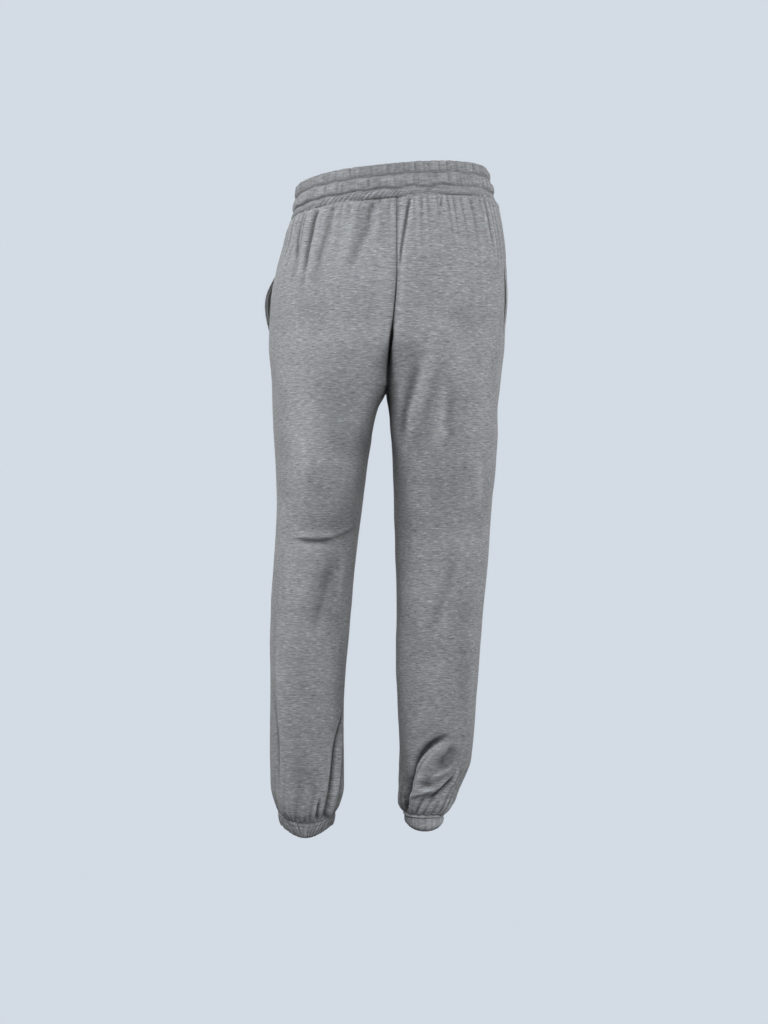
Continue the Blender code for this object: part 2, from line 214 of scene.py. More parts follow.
# The pocket mouths in the side seams, how far they gape, and the pocket bags.
MOUTH_BOTTOM = -0.232
GAPE_TOP = -0.135
GAPE_REACH = 0.045
GAPES = {"left": 0.0095, "right": 0.0025}
BAG_TOP = -0.060
BAG_BOTTOM = -0.300
BAG_HOLLOW = 0.0140
BAG_CLEAR = 0.0010
CURVE_SAMPLES = 321
TANGENT_REACH = 0.004

# === The picture that the camera takes, in pixels from its top left corner ===

PICTURE_WIDTH = 768
PICTURE_HEIGHT = 1024
CAMERA = Vector((0.0136, 2.4, -0.5))
FOCAL_PIXELS = 1584.0
SENSOR = 36.0
FAR_AWAY = 1e6

# === Detail of the cloth ===

# How far apart the rows of a panel's grid are, at some heights.
RowStep = namedtuple("RowStep", "height step")
ROW_STEPS = in_millimetres(
    RowStep,
    (-50, 1.5), (-85, 2.1), (-130, 3.9), (-290, 3.9), (-308, 1.6), (-316, 0.8), (-322, 1.6),
    (-345, 4.3), (-500, 4.1), (-525, 1.9), (-562, 1.9), (-600, 4.3), (-810, 3.9), (-870, 2.2),
    (-944, 1.4),
)
# Where a panel's columns are next to its seams, and how many there are between those.
EDGE_COLUMNS = (0.0, 0.0004, 0.0009, 0.0015, 0.0023, 0.0033, 0.0046, 0.0062, 0.0082)
INNER_COLUMNS = 122
BAND_COLUMNS = 1000
CUFF_COLUMNS = 300

# A fold on a back panel, along points of the picture.  `out` is how far it stands out, in
# millimetres, and `left` and `right` are its half widths on either side of the way it runs.
# `start` and `end` are the shares of `out` that are left at its two ends.
Fold = namedtuple("Fold", "out left right start end path")


def folds(*rows):
    """Folds from rows of their five sizes and then the points of their path."""
    return [Fold(*row[:5], list(zip(row[5::2], row[6::2]))) for row in rows]


BACK_FOLDS = {
    "left": folds(
        # Gathers that run down from the waistband.
        (2, 4, 4, 0, 0.9, 289, 250, 295, 230, 301.7, 211),
        (-3.4, 4.5, 4, 0.1, 0.8, 296, 262, 296, 240, 302, 222, 306, 211),
        (2.4, 4, 6, 0, 0.9, 297, 284, 301, 265, 303.5, 243, 311, 212),
        (-3, 4, 5, 0, 0.8, 303, 276, 308.5, 243, 318, 210),
        (2.6, 4, 8, 0, 0.9, 305, 295, 309, 267, 314, 240, 325, 208),
        (-2.6, 6, 7, 0, 0.8, 316, 276, 323, 242, 334, 207),
        (2.2, 9, 7, 0, 0.9, 341, 274, 348, 240, 356, 210),
        (-2.2, 11, 7, 0, 0.9, 350, 276, 357, 252, 365, 234, 369, 210),
        (-1.3, 2.5, 2.5, 0.2, 0.4, 370, 203, 376, 209),
        (1.4, 5, 5, 0, 0.9, 374, 245, 378, 222, 380, 206),
        # The crease behind the knee: cloth from above laps over the cloth below it.
        (2.7, 9, 2.2, 0.1, 0, 292, 535.5, 303, 537, 318, 537.5, 338, 535),
        (1.3, 9, 2.8, 0, 0, 310, 537.5, 331, 536.5, 344, 531, 357, 522),
        (-3.4, 1.6, 7, 0.2, 0, 295, 538.5, 303, 539.8, 318, 540.5, 336, 538.5),
        (-1, 2, 8, 0, 0, 312, 540.5, 331, 539.8, 345, 534.4, 357, 526),
        (-3.2, 14, 9, 0, 0, 309, 640, 319, 609, 325, 587, 337, 545),
        (2.8, 7, 11, 0, 0, 334, 622, 339, 585, 344, 548),
        (1.4, 8, 8, 0, 0, 300, 610, 306, 580, 312, 556),
        # The calf.
        (2.2, 7, 18, 0.5, 0.1, 288, 815, 283, 740, 279, 670, 277, 600),
        (-1.8, 5, 4, 0, 0, 282, 806, 277, 740, 274, 680),
        (-6.5, 7.5, 2.2, 0.7, 0, 328.5, 822, 330, 803, 333.2, 784, 335, 765, 337.6, 740, 345, 695),
        (3.6, 2.6, 6, 0.3, 0, 332, 818, 337.5, 780, 341, 738, 347, 705),
        (-6.5, 2, 2.2, 0.8, 0, 317, 826, 318.4, 815, 321.5, 796),
    ),
    "right": folds(
        # The second crease beside the centre back seam.
        (-4.2, 1.6, 2.8, 0, 1, 398.5, 275, 401, 246, 405, 219, 409.5, 200),
        (-1.9, 1.5, 1.5, 0, 0.8, 422, 211, 422.5, 196),
        (-1.9, 1.5, 1.5, 0, 0.8, 440, 208, 442, 196),
        (1.2, 3.5, 3.5, 0, 0.7, 491, 258, 487, 232, 480, 200),
        (-1.3, 3, 3, 0, 0.7, 494, 250, 491, 232, 484, 202),
        (1, 3, 3.5, 0, 0.7, 497, 268, 494.5, 240, 488, 208),
        # The thigh.
        (-2.2, 10, 8, 0, 0, 402, 450, 408, 395, 415, 342),
        (3.8, 8, 11, 0, 0, 407, 455, 421, 390, 435, 322),
        (-1.4, 10, 9, 0, 0, 453, 455, 450, 415, 449, 376),
        (2, 10, 8, 0, 0, 438, 462, 440, 415, 446, 372),
        (2.4, 8, 9, 0, 0, 478, 520, 478, 455),
        (-2.6, 14, 10, 0, 0, 427, 650, 443, 598, 447, 587, 455, 540),
        # The blouse above the cuff.
        (
            -11, 6.5, 3.2, 0.8, 0, 406.5, 809, 409, 796, 410.5, 786, 412, 773, 415.5, 761, 424.4,
            750.6, 436.4, 741.6, 445, 736.5, 455, 734,
        ),
        (-5.5, 10, 4, 0.2, 0, 406, 800, 409, 786, 412, 777, 416, 766),
        (-9, 15, 3, 0.9, 0, 405, 813, 405.5, 800, 407.5, 786, 410, 772),
        (
            7, 4.2, 10, 0.5, 0.1, 414, 800, 416, 788, 420.5, 776, 423.5, 768, 430.5, 757.5, 440,
            748, 454, 743,
        ),
        (-4, 10, 20, 0, 0.2, 432, 769, 442, 761, 450, 753, 457, 741),
        (4, 5, 5, 0, 0, 428, 778, 442, 774, 455, 768),
        (-3, 4, 4, 0, 0, 419, 781, 427, 784.5, 435, 787),
        (5.5, 6, 3.2, 0.3, 0, 410, 798, 422, 792.5, 438, 788.5),
        (-8.5, 2.6, 7, 0, 0, 423, 798, 432, 796, 438, 792.5, 446, 785.5, 456, 777),
        (4.5, 3.2, 3.2, 0, 0, 449, 791, 456, 779, 461, 767),
        (1.5, 4, 2.2, 0.5, 0, 400.5, 810, 399.5, 799, 401, 782),
    ),
}

# Painted shadows: places that less light gets into, where `out` is the share of light, in
# thousandths, that is painted out of the cloth's colour, and below 0 painted light, where more
# light gets in.
PAINTED_SHADOWS = {
    "left": folds(
        # Painted light on the thigh, painted shade in the hollow behind the knee and on the inner
        # side of the calf, and painted light low on the calf.
        (-160, 22, 30, 0, 0, 322, 350, 314, 390, 308, 430, 296, 480, 292, 520),
        (250, 26, 26, 0, 0, 348, 455, 342, 510, 338, 555, 332, 600, 318, 650),
        (190, 16, 22, 0, 0, 334, 580, 340, 660, 342, 740, 341, 800),
        (-110, 14, 14, 0, 0.4, 318, 800, 300, 806, 284, 812),
    ),
    "right": folds(
        (110, 22, 20, 0, 0, 412, 338, 440, 342, 466, 350),
        (160, 14, 20, 0, 0, 462, 540, 462, 620, 463, 690, 464, 750),
        (600, 18, 4, 0.9, 0, 405, 813, 405.5, 800, 408, 786, 411, 773, 415, 763),
        (230, 8, 20, 0, 0.2, 434, 769, 443, 762, 451, 755, 457, 744),
        (320, 3, 9, 0, 0, 426, 798, 437, 792.5, 446, 785.5, 456, 777),
    ),
}

# A fold on a front panel, through places of the panel: distance from the side seam and height.
FRONT_FOLDS = {
    "left": folds(
        (-1.8, 3, 5, 0, 0.2, 0.215, -0.352, 0.262, -0.33, 0.3, -0.318),
        (1.6, 7, 3, 0, 0.2, 0.215, -0.343, 0.262, -0.321, 0.296, -0.31),
        (-1.4, 4, 6, 0, 0.2, 0.225, -0.392, 0.268, -0.362, 0.296, -0.344),
        (-2.2, 5, 9, 0, 0, 0.065, -0.6, 0.105, -0.588, 0.15, -0.596),
        (2, 10, 5, 0, 0, 0.065, -0.59, 0.105, -0.578, 0.15, -0.586),
        (-1.8, 7, 7, 0, 0, 0.12, -0.735, 0.1, -0.66),
        (-2.6, 3, 6, 0, 0, 0.05, -0.905, 0.095, -0.893, 0.14, -0.868),
        (2.2, 7, 3, 0, 0, 0.05, -0.897, 0.095, -0.885, 0.14, -0.86),
        (-2.2, 4, 5, 0, 0, 0.12, -0.926, 0.155, -0.905, 0.18, -0.88),
    ),
    "right": folds(
        (-1.8, 3, 5, 0, 0.2, 0.235, -0.356, 0.275, -0.333, 0.31, -0.318),
        (1.6, 7, 3, 0, 0.2, 0.235, -0.347, 0.275, -0.324, 0.306, -0.31),
        (-1.4, 4, 6, 0, 0.2, 0.24, -0.396, 0.282, -0.364, 0.308, -0.346),
        (-2, 5, 9, 0, 0, 0.08, -0.585, 0.125, -0.6, 0.17, -0.594),
        (1.8, 10, 5, 0, 0, 0.08, -0.575, 0.125, -0.59, 0.17, -0.584),
        (-1.6, 7, 7, 0, 0, 0.11, -0.76, 0.135, -0.67),
        (-3, 3, 6, 0, 0, 0.05, -0.89, 0.095, -0.896, 0.14, -0.88),
        (2.6, 7, 3, 0, 0, 0.05, -0.882, 0.095, -0.888, 0.14, -0.872),
        (-2.6, 4, 5, 0, 0, 0.085, -0.922, 0.125, -0.908, 0.165, -0.905),
    ),
}
# How finely and how often a fold's path is smoothed, how many half widths a fold reaches, and over
# what share of its length it fades out at each end.
PATH_POINTS = 25
PATH_SMOOTHINGS = 8
FOLD_REACH = 2.8
FOLD_END = 0.35

# Rounded edge of a sewn panel, and how deep and wide the groove along each seam is.
EDGE_ROUND = 0.0010
TUCK = 0.0030
SIDE_GROOVE = (0.0007, 0.0030)
MOUTH_GROOVE_SHARE = 0.3
VALLEY_WIDE = 0.012
CENTRE_GROOVE = {"back": (0.0048, 0.0056), "front": (0.0014, 0.0034)}
INSEAM_GROOVE = (0.0009, 0.0032)
# The cleft above the crotch: from which height, and how much deeper it makes the groove.
CLEFT_STARTS = -0.205
CLEFT_DEEPER = 2.2

# The puff of the cloth next to a gathered seam, and over which lengths it rises and falls.
Puff = namedtuple("Puff", "out rise fall")
WAIST_PUFF = Puff(0.0020, 0.0009, 0.0260)
HEM_PUFFS = {"left": Puff(0.0003, 0.004, 0.022), "right": Puff(0.0014, 0.004, 0.022)}

# Painted shade and painted highlight of the cloth's creases and folds, small and large: how much
# darker the colour is painted in a crease, how much lighter on a fold, how deep a crease is at its
# darkest, and over how many columns and rows of the grid they reach.
PaintedCreaseShade = namedtuple("PaintedCreaseShade", "strength lift relief across down")
PAINTED_CREASE_SHADES = (
    PaintedCreaseShade(0.24, 0.5, 0.0010, 5, 3),
    PaintedCreaseShade(0.20, 0.25, 0.0040, 16, 9),
    PaintedCreaseShade(0.32, 0.0, 0.0060, 28, 16),
)
# The share of the painted crease shade and highlight that is left next to a panel's waist seam and
# hem.
SEAM_PAINTED_SHADE_SHARE = 0.35
# The painted shade of the cleft above the crotch: how strong it is, from which height down it comes
# in, to which height it lasts, from which height down it widens, and for each side how wide it is
# at the top and how much wider it gets.
CLEFT_PAINTED_SHADE = 0.92
CLEFT_DARK_STARTS = -0.130
CLEFT_DARK_ENDS = CROTCH - 0.07
CLEFT_WIDENS = CROTCH + 0.058
CLEFT_DARK = {"left": (0.0010, 0.0022), "right": (0.0010, 0.0088)}
# The painted shade along the inner edge of the right leg: how strong and wide it is, and to which
# height.
INNER_PAINTED_SHADE = (0.42, 0.0075)
INNER_SHADE_ENDS = -0.90

# The slow unevenness of hanging cloth: its height as a share of each wave's length, the lengths,
# and how much the waves run along each axis.
UNEVEN = 0.0012 / 0.35
UNEVEN_WAVES = 26
UNEVEN_LENGTHS = (0.045, 0.150)
UNEVEN_WAY = (1.0, 1.0, 0.45)
UNEVEN_SEED = 20

# Waistband outer profile: depth below the top edge, and how far the cloth stands out there.
BandRow = namedtuple("BandRow", "depth proud")
BAND_PROFILE = in_millimetres(
    BandRow,
    (0, 1), (1.2, 2.4), (3.5, 3.4), (8, 3.8), (12, 3.3), (14.8, 1.8), (16.5, -0.4), (18.2, 2.2),
    (21, 4.6), (26, 5.6), (31.5, 5.2), (34.6, 3.2), (36, -0.8), (37.6, 1.2), (40.5, 2.6),
    (44.5, 2.5), (47.8, 1.2), (49.4, -0.8),
)
BAND_SEAMS = (0.0165, 0.0360)
BAND_END = 0.0494
BAND_ROWS = 46


def read_table(table, column, height):
    """A column of a table at a height, on a smooth curve that never overshoots its rows."""
    rows = sorted(table, key=lambda row: row.height)
    heights = np.array([row.height for row in rows])
    values = np.array([getattr(row, column) for row in rows])
    steps = np.diff(heights)
    slopes = np.diff(values) / steps
    tangents = np.zeros(len(rows))
    for i in range(1, len(rows) - 1):
        if slopes[i - 1] * slopes[i] > 0:
            tangents[i] = 2 * slopes[i - 1] * slopes[i] / (slopes[i - 1] + slopes[i])
    tangents[0] = slopes[0]
    tangents[-1] = slopes[-1]
    height = min(max(height, heights[0]), heights[-1])
    i = min(int(np.searchsorted(heights, height, side="right")) - 1, len(steps) - 1)
    t = (height - heights[i]) / steps[i]
    return (
        values[i] * (1 + 2 * t) * (1 - t) ** 2
        + tangents[i] * steps[i] * t * (1 - t) ** 2
        + values[i + 1] * t * t * (3 - 2 * t)
        + tangents[i + 1] * steps[i] * t * t * (t - 1)
    )


def ease(value):
    """0 below 0, 1 above 1, and a smooth step between them."""
    value = np.clip(value, 0.0, 1.0)
    return value * value * (3 - 2 * value)


def fade_in(value, reach, least=0.0):
    """`least` at 0 and 1 from `reach` on, with a smooth step between them."""
    return least + (1 - least) * ease(value / reach)


def bell(value, wide):
    """1 at 0, falling away on both sides as far as about twice `wide`."""
    return np.exp(-((value / wide) ** 2))


def way_along(*parts):
    """The way along a line, at each of its points, from its X, its Y and so on."""
    steps = np.sqrt(sum(np.diff(part) ** 2 for part in parts))
    return np.concatenate(([0.0], np.cumsum(steps)))


def section_point(section, angle):
    """X and Y on a round section: angle 0 is its outer side, pi/2 its back, pi its inner side."""
    cosine = np.cos(angle)
    sine = np.sin(angle)
    outside = cosine >= 0
    fullness = np.where(outside, section.fullness, section.inner_fullness)
    across = np.abs(cosine) ** (2 / fullness)
    along = np.abs(sine) ** (2 / fullness)
    behind = sine >= 0
    edge = np.where(outside, section.outer, section.inner)
    depth = np.where(behind, section.back, section.front)
    inner_end = np.where(behind, section.back_end, section.front_end)
    base = np.where(outside, section.middle_y, inner_end)
    return section.centre + (edge - section.centre) * across, base + (depth - base) * along


def fork_shares(height):
    """How far the two halves have joined at a height: the depth of their inner edges, and the
    width of the valley between them."""
    up = min(max((height - CROTCH) / FORK_RISE, 0.0), 1.0)
    return math.sin(math.pi / 2 * up), float(ease(up))


def leg_section(side, height):
    """One half of the garment at a height."""
    leg = LEGS[side]
    middle_x = read_table(MIDDLE_PLANE, "x", height)
    set_back = read_table(leg, "set_back", height)
    outer = read_table(leg, "outer", height)
    inner = middle_x if height >= CROTCH else read_table(leg, "inner", height)
    back = read_table(BODY_DEPTH, "back", height) + set_back
    front = read_table(BODY_DEPTH, "front", height) + set_back
    joined, narrowed = fork_shares(height)
    fullness = LEG_FULLNESS + (HIP_FULLNESS - LEG_FULLNESS) * narrowed
    corner = INNER_CORNER * math.exp(-(((height - CROTCH) / INNER_CORNER_REACH) ** 2))
    return Section(
        centre=(outer + inner) / 2 * (1 - narrowed) + middle_x * narrowed,
        outer=outer,
        inner=inner,
        middle_y=set_back,
        back=back,
        front=front,
        back_end=set_back + (back - set_back) * joined,
        front_end=set_back + (front - set_back) * joined,
        fullness=fullness,
        inner_fullness=fullness + corner,
    )


def hem_drop(line, section, y):
    """How far points of a leg's end hang below their nominal height."""
    behind = (y - section.middle_y) / (section.back - section.middle_y)
    return line.level + line.slope * behind + line.tip * np.maximum(behind, 0.0) ** line.power


def tilt(height, x, y):
    """How far the cloth at a nominal height is lifted by the waist's tilt."""
    waist = ease((height - WAIST_TILT_ENDS) / (PANEL_TOP - WAIST_TILT_ENDS))
    return waist * (WAIST_ROLL * x + WAIST_PITCH * y)


def soft_folds(panel, from_seam, width, height):
    """How far the big soft folds push the cloth out along one row of a panel."""
    offset = np.zeros_like(from_seam)
    for fold in SOFT_FOLDS[panel]:
        start = np.array((fold.from_seam_1, fold.height_1))
        run = np.array((fold.from_seam_2, fold.height_2)) - start
        place = np.stack((from_seam, np.full_like(from_seam, height)), 1) - start
        along = np.clip(place @ run / (run @ run), 0.0, 1.0)
        distance = np.linalg.norm(place - along[:, None] * run, axis=1)
        ends = FOLD_END_SHARE + (1 - FOLD_END_SHARE) * np.sin(np.pi * along)
        offset += fold.out * ends * bell(distance, fold.wide)
    return offset * fade_in(np.minimum(from_seam, width - from_seam), FOLD_EDGE_CLEAR)


def mouth_gape(side, height):
    """How far the front edge of a side pocket stands out from the side seam."""
    up = (height - MOUTH_BOTTOM) / (GAPE_TOP - MOUTH_BOTTOM)
    return GAPES[side] * math.sin(math.pi * up) if 0 < up < 1 else 0.0


# === Grids of the panels ===

# A panel's grid: points, outward normals, distance from the side seam, and for each row the
# panel's width and the nominal height.
Grid = namedtuple("Grid", "side face points normals from_seam width heights")


def row_heights(side):
    """The heights of a panel's rows, from the waist seam to the cuff."""
    stops = [row.height for row in ROW_STEPS][::-1]
    steps = [row.step for row in ROW_STEPS][::-1]
    heights = [PANEL_TOP]
    while heights[-1] > HEMS[side].end:
        heights.append(heights[-1] - float(np.interp(heights[-1], stops, steps)))
    heights = np.array(heights)
    share = (HEMS[side].end - PANEL_TOP) / (heights[-1] - PANEL_TOP)
    tucked = [PANEL_TOP + TUCK, PANEL_TOP + TUCK / 2]
    return np.concatenate((tucked, PANEL_TOP + (heights - PANEL_TOP) * share))


def panel_grid(side, face):
    """The form of a panel, before any detail."""
    heights = row_heights(side)
    edge = np.array(EDGE_COLUMNS) + SEAM_GAP / 2
    rows, places, widths = [], [], []
    turn = BACKWARD[face]
    for height in heights:
        section = leg_section(side, height)
        seam = read_table(LEGS[side], "seam", height) / (section.back - section.middle_y)
        start = math.asin(seam ** (section.fullness / 2))
        angle = np.linspace(start, turn * math.pi, CURVE_SAMPLES)
        x, y = section_point(section, angle)
        run = way_along(x, y)
        quarter = float(np.interp(math.pi / 2, turn * angle, run))
        middle = quarter * (1 - fork_shares(height)[1] / 2)
        width = run[-1] - (SEAM_GAP / 2 if height <= CROTCH else 0.0)
        inner = np.interp(
            np.linspace(0.0, 1.0, INNER_COLUMNS + 2)[1:-1],
            (0.0, 0.5, 1.0),
            (edge[-1], middle, width - edge[-1]),
        )
        place = np.concatenate((edge, inner, width - edge[::-1] + SEAM_GAP / 2))
        px, py = (np.interp(place, run, part) for part in (x, y))
        before, after = place - TANGENT_REACH, place + TANGENT_REACH
        tangent_x, tangent_y = (
            np.interp(after, run, part) - np.interp(before, run, part) for part in (x, y)
        )
        length = np.hypot(tangent_x, tangent_y)
        way = OUTWARD[side] * turn
        offset = soft_folds(face + "_" + side, place, width, height)
        if face == "front":
            offset = offset + mouth_gape(side, height) * ease(1 - place / GAPE_REACH)
        px = px + tangent_y * way / length * offset
        py = py - tangent_x * way / length * offset
        hem = HEMS[side]
        low = ease((hem.drop_starts - height) / (hem.drop_starts - hem.end))
        lift = tilt(height, px, py) - low * hem_drop(hem.seam, section, py)
        rows.append(np.stack((px, py, height + lift), 1))
        places.append(place)
        widths.append(width)
    points, places, widths = np.array(rows), np.array(places), np.array(widths)
    normals = grid_normals(points)
    if (normals * (points - points.mean(axis=1, keepdims=True)))[..., :2].sum() < 0:
        normals = -normals
    share = bell(widths[:, None] - places, VALLEY_WIDE) * fade_in(heights - CROTCH, 0.004)[:, None]
    normals = normals * (1 - share[..., None])
    normals[..., 1] += share * turn
    normals /= np.linalg.norm(normals, axis=2, keepdims=True)
    return Grid(side, face, points, normals, places, widths, heights)


def grid_normals(points):
    """Unit normals of a grid of points, a little smoothed."""
    across = np.gradient(points, axis=1)
    down = np.gradient(points, axis=0)
    normals = np.cross(across, down)
    normals /= np.linalg.norm(normals, axis=2, keepdims=True)
    padded = np.pad(normals, ((1, 1), (1, 1), (0, 0)), mode="edge")
    normals = sum(
        padded[1 + i : padded.shape[0] - 1 + i, 1 + j : padded.shape[1] - 1 + j]
        for i in (-1, 0, 1)
        for j in (-1, 0, 1)
    )
    return normals / np.linalg.norm(normals, axis=2, keepdims=True)


def in_picture(points):
    """Where points come in the camera's picture."""
    away = CAMERA.y - points[..., 1]
    u = PICTURE_WIDTH / 2 - FOCAL_PIXELS * (points[..., 0] - CAMERA.x) / away
    v = PICTURE_HEIGHT / 2 - FOCAL_PIXELS * (points[..., 2] - CAMERA.z) / away
    return np.stack((u, v), -1)


def smooth_path(places):
    """A smooth run of PATH_POINTS points along a short list of them."""
    places = np.array(places, float)
    lengths = way_along(*places.T)
    along = np.linspace(0.0, lengths[-1], PATH_POINTS)
    path = np.stack([np.interp(along, lengths, part) for part in places.T], 1)
    for _ in range(PATH_SMOOTHINGS):
        path[1:-1] = (path[:-2] + 2 * path[1:-1] + path[2:]) / 4
    return path


def places_in_picture(grid, path):
    """The places of a panel (distance from its seam, height) that show at points of the picture."""
    seen = in_picture(grid.points)
    hidden = (grid.normals * (np.array(CAMERA) - grid.points)).sum(axis=2) <= 0
    heights = np.broadcast_to(grid.heights[:, None], grid.from_seam.shape)
    fields = (seen[..., 0], seen[..., 1], grid.from_seam, heights)
    u_slopes, v_slopes, seam_slopes, height_slopes = (np.gradient(field) for field in fields)
    found = []
    for u, v in path:
        distance = (seen[..., 0] - u) ** 2 + (seen[..., 1] - v) ** 2 + FAR_AWAY * hidden
        at = np.unravel_index(int(distance.argmin()), distance.shape)
        slopes = np.array([[slope[at] for slope in pair] for pair in (u_slopes, v_slopes)])
        miss = np.array((u, v)) - seen[at]
        step = np.clip(np.linalg.lstsq(slopes, miss, rcond=None)[0], -1.0, 1.0)
        found.append(
            (
                grid.from_seam[at] + sum(by * slope[at] for by, slope in zip(step, seam_slopes)),
                heights[at] + sum(by * slope[at] for by, slope in zip(step, height_slopes)),
            )
        )
    return found


def fold_field(grid, fold, path, handed):
    """How far one fold pushes each point of a panel out."""
    heights = np.broadcast_to(grid.heights[:, None], grid.from_seam.shape)
    places = np.stack((grid.from_seam, heights), -1)
    out, left, right = (value / 1000 for value in (fold.out, fold.left, fold.right))
    reach = FOLD_REACH * max(left, right)
    inside = (places > path.min(axis=0) - reach) & (places < path.max(axis=0) + reach)
    near = inside.all(axis=-1)
    points = places[near]
    best = np.full(len(points), FAR_AWAY)
    side = np.zeros(len(points))
    along = np.zeros(len(points))
    for i, (start, end) in enumerate(zip(path, path[1:])):
        run, rest = end - start, points - start
        t = np.clip(rest @ run / (run @ run), 0.0, 1.0)
        distance = np.linalg.norm(rest - t[:, None] * run, axis=1)
        closer = distance < best
        best = np.where(closer, distance, best)
        turn = run[0] * rest[:, 1] - run[1] * rest[:, 0]
        side = np.where(closer, np.sign(turn) * handed, side)
        along = np.where(closer, (i + t) / (len(path) - 1), along)
    ends = fade_in(along, FOLD_END, fold.start) * fade_in(1 - along, FOLD_END, fold.end)
    field = np.zeros(grid.from_seam.shape)
    field[near] = out * ends * bell(best, np.where(side >= 0, left, right))
    return field


def uneven(points):
    """Slow unevenness of the cloth, the same on both sides of a seam."""
    rng = np.random.default_rng(UNEVEN_SEED)
    field = np.zeros(points.shape[:-1])
    for _ in range(UNEVEN_WAVES):
        wave = rng.uniform(*UNEVEN_LENGTHS)
        way = rng.normal(size=3) * np.array(UNEVEN_WAY)
        way *= 2 * np.pi / wave / np.linalg.norm(way)
        field += wave * np.cos(points @ way + rng.uniform(0, 2 * np.pi))
    return UNEVEN * field


# === Pleats: a run of small puffs with creases between them ===

Pleats = namedtuple("Pleats", "knots sizes")


def make_pleats(seed, length, spacing_at, uneven_by=0.33):
    """Pleats round a closed length, with spacing_at(place) between them."""
    rng = np.random.default_rng(seed)
    knots = [0.0]
    while knots[-1] < length:
        knots.append(knots[-1] + spacing_at(knots[-1]) * rng.uniform(1 - uneven_by, 1 + uneven_by))
    knots = np.array(knots) * length / knots[-1]
    return Pleats(knots, rng.uniform(1 - 1.3 * uneven_by, 1.0, len(knots) - 1))


def puffs(pleats, place, roundness=2.2):
    """The height of the pleats at places along them, from 0 in a crease to about 1 on a puff."""
    length = pleats.knots[-1]
    place = np.mod(place, length)
    i = np.clip(np.searchsorted(pleats.knots, place, side="right") - 1, 0, len(pleats.sizes) - 1)
    t = (place - pleats.knots[i]) / (pleats.knots[i + 1] - pleats.knots[i])
    return pleats.sizes[i] * (1 - np.abs(2 * t - 1) ** roundness)


def waves(seed, length, count, place, low=2, high=9):
    """A smooth wandering value between about -1 and 1 along a closed length."""
    rng = np.random.default_rng(seed)
    value = np.zeros_like(place)
    for _ in range(count):
        turns = rng.integers(low, high)
        value += np.cos(2 * np.pi * turns * place / length + rng.uniform(0, 2 * np.pi))
    return value / math.sqrt(count)


# === The waist: one measure round it for the waistband and for the gathers below it ===

# How finely the waist is measured, and at which row of the band.
WAIST_SAMPLES = 3601
WAIST_MEASURED_AT = BandRow(depth=0.030, proud=0.003)


def waist_ring(depth, proud, angle):
    """X and Y of the waistband at a depth below its top edge, at angles round the waist."""
    x, y = np.zeros_like(angle), np.zeros_like(angle)
    for side in ("left", "right"):
        here = np.cos(angle) > 0 if side == "left" else np.cos(angle) <= 0
        section = leg_section(side, -depth)
        section = section._replace(
            outer=section.outer + OUTWARD[side] * proud[here],
            back=section.back + proud[here],
            front=section.front - proud[here],
        )
        turned = angle[here] if side == "left" else math.pi - angle[here]
        x[here], y[here] = section_point(section, turned)
    return x, y


def make_waist_measure():
    """Evenly spaced angles round the waist, and the way round and the direction at each of them."""
    fine = np.linspace(0.0, 2 * np.pi, WAIST_SAMPLES)
    x, y = waist_ring(WAIST_MEASURED_AT.depth, np.full_like(fine, WAIST_MEASURED_AT.proud), fine)
    return fine, way_along(x, y), np.unwrap(np.arctan2(y, x))


WAIST_ANGLE, WAIST_RUN, WAIST_POLAR = make_waist_measure()
WAIST_LENGTH = WAIST_RUN[-1]
# The place of the middle of the back.
BACK_MIDDLE = 0.205


def round_waist(x, y):
    """How far round the waist a point is, from the wearer's left side by the back."""
    turned = np.mod(np.arctan2(y, x) - WAIST_POLAR[0], 2 * np.pi) + WAIST_POLAR[0]
    return np.interp(turned, WAIST_POLAR, WAIST_RUN)


def waist_angle(place):
    """The angle of a place round the waist."""
    return np.interp(np.mod(place, WAIST_LENGTH), WAIST_RUN, WAIST_ANGLE)


def at_sides(place):
    """1 at the wearer's two sides of the waist, 0 at the middle of the back and of the front."""
    return fade_in(np.abs(np.cos(waist_angle(place))) - 0.62, 0.22)


def at_front(place):
    """1 on the front of the waist and 0 on its back."""
    return ease(0.5 - np.sin(waist_angle(place)) * 2)


def at_back_right(place):
    """1 on the right half of the back of the waist, where the cloth is gathered least."""
    past_middle = np.mod(place, WAIST_LENGTH) - BACK_MIDDLE
    return fade_in(past_middle, 0.05) * (1 - at_front(place))


# How far apart the pleats of the band's channels are on the front and at the sides.
FRONT_SPACING = 0.0085
SIDE_SPACING = 0.0056


def channel_spacing(wide):
    """The spacing of a channel's pleats round the waist: fine at the sides, `wide` behind."""

    def spacing_at(place):
        sides, front = float(at_sides(place)), float(at_front(place))
        middle = wide * (1 - front) + FRONT_SPACING * front
        return SIDE_SPACING * sides + middle * (1 - sides)

    return spacing_at


# The slanted pleats of the band's lowest strip, which run on below it as fine gathers.
STRIP = make_pleats(54, WAIST_LENGTH, lambda place: 0.0072)
STRIP_SLANT = 0.85
STRIP_OUT = 0.0030
STRIP_SPREAD = 0.3
STRIP_REACH = 0.0110
# Broader gathers, each with its own length, blended over some columns of the grid.
MID_GATHERS = make_pleats(32, WAIST_LENGTH, lambda place: 0.0130)
MID_LENGTHS = (0.018, 0.075)
MID_SEED = 33
MID_BLEND = 9
MidSize = namedtuple("MidSize", "back front sides")
MID_OUT = MidSize(0.0026, 0.0012, 0.0018)


def puffed(distance, puff):
    """How far the cloth puffs out at a distance from a gathered seam."""
    return puff.out * (1 - np.exp(-distance / puff.rise)) * np.exp(-distance / puff.fall)


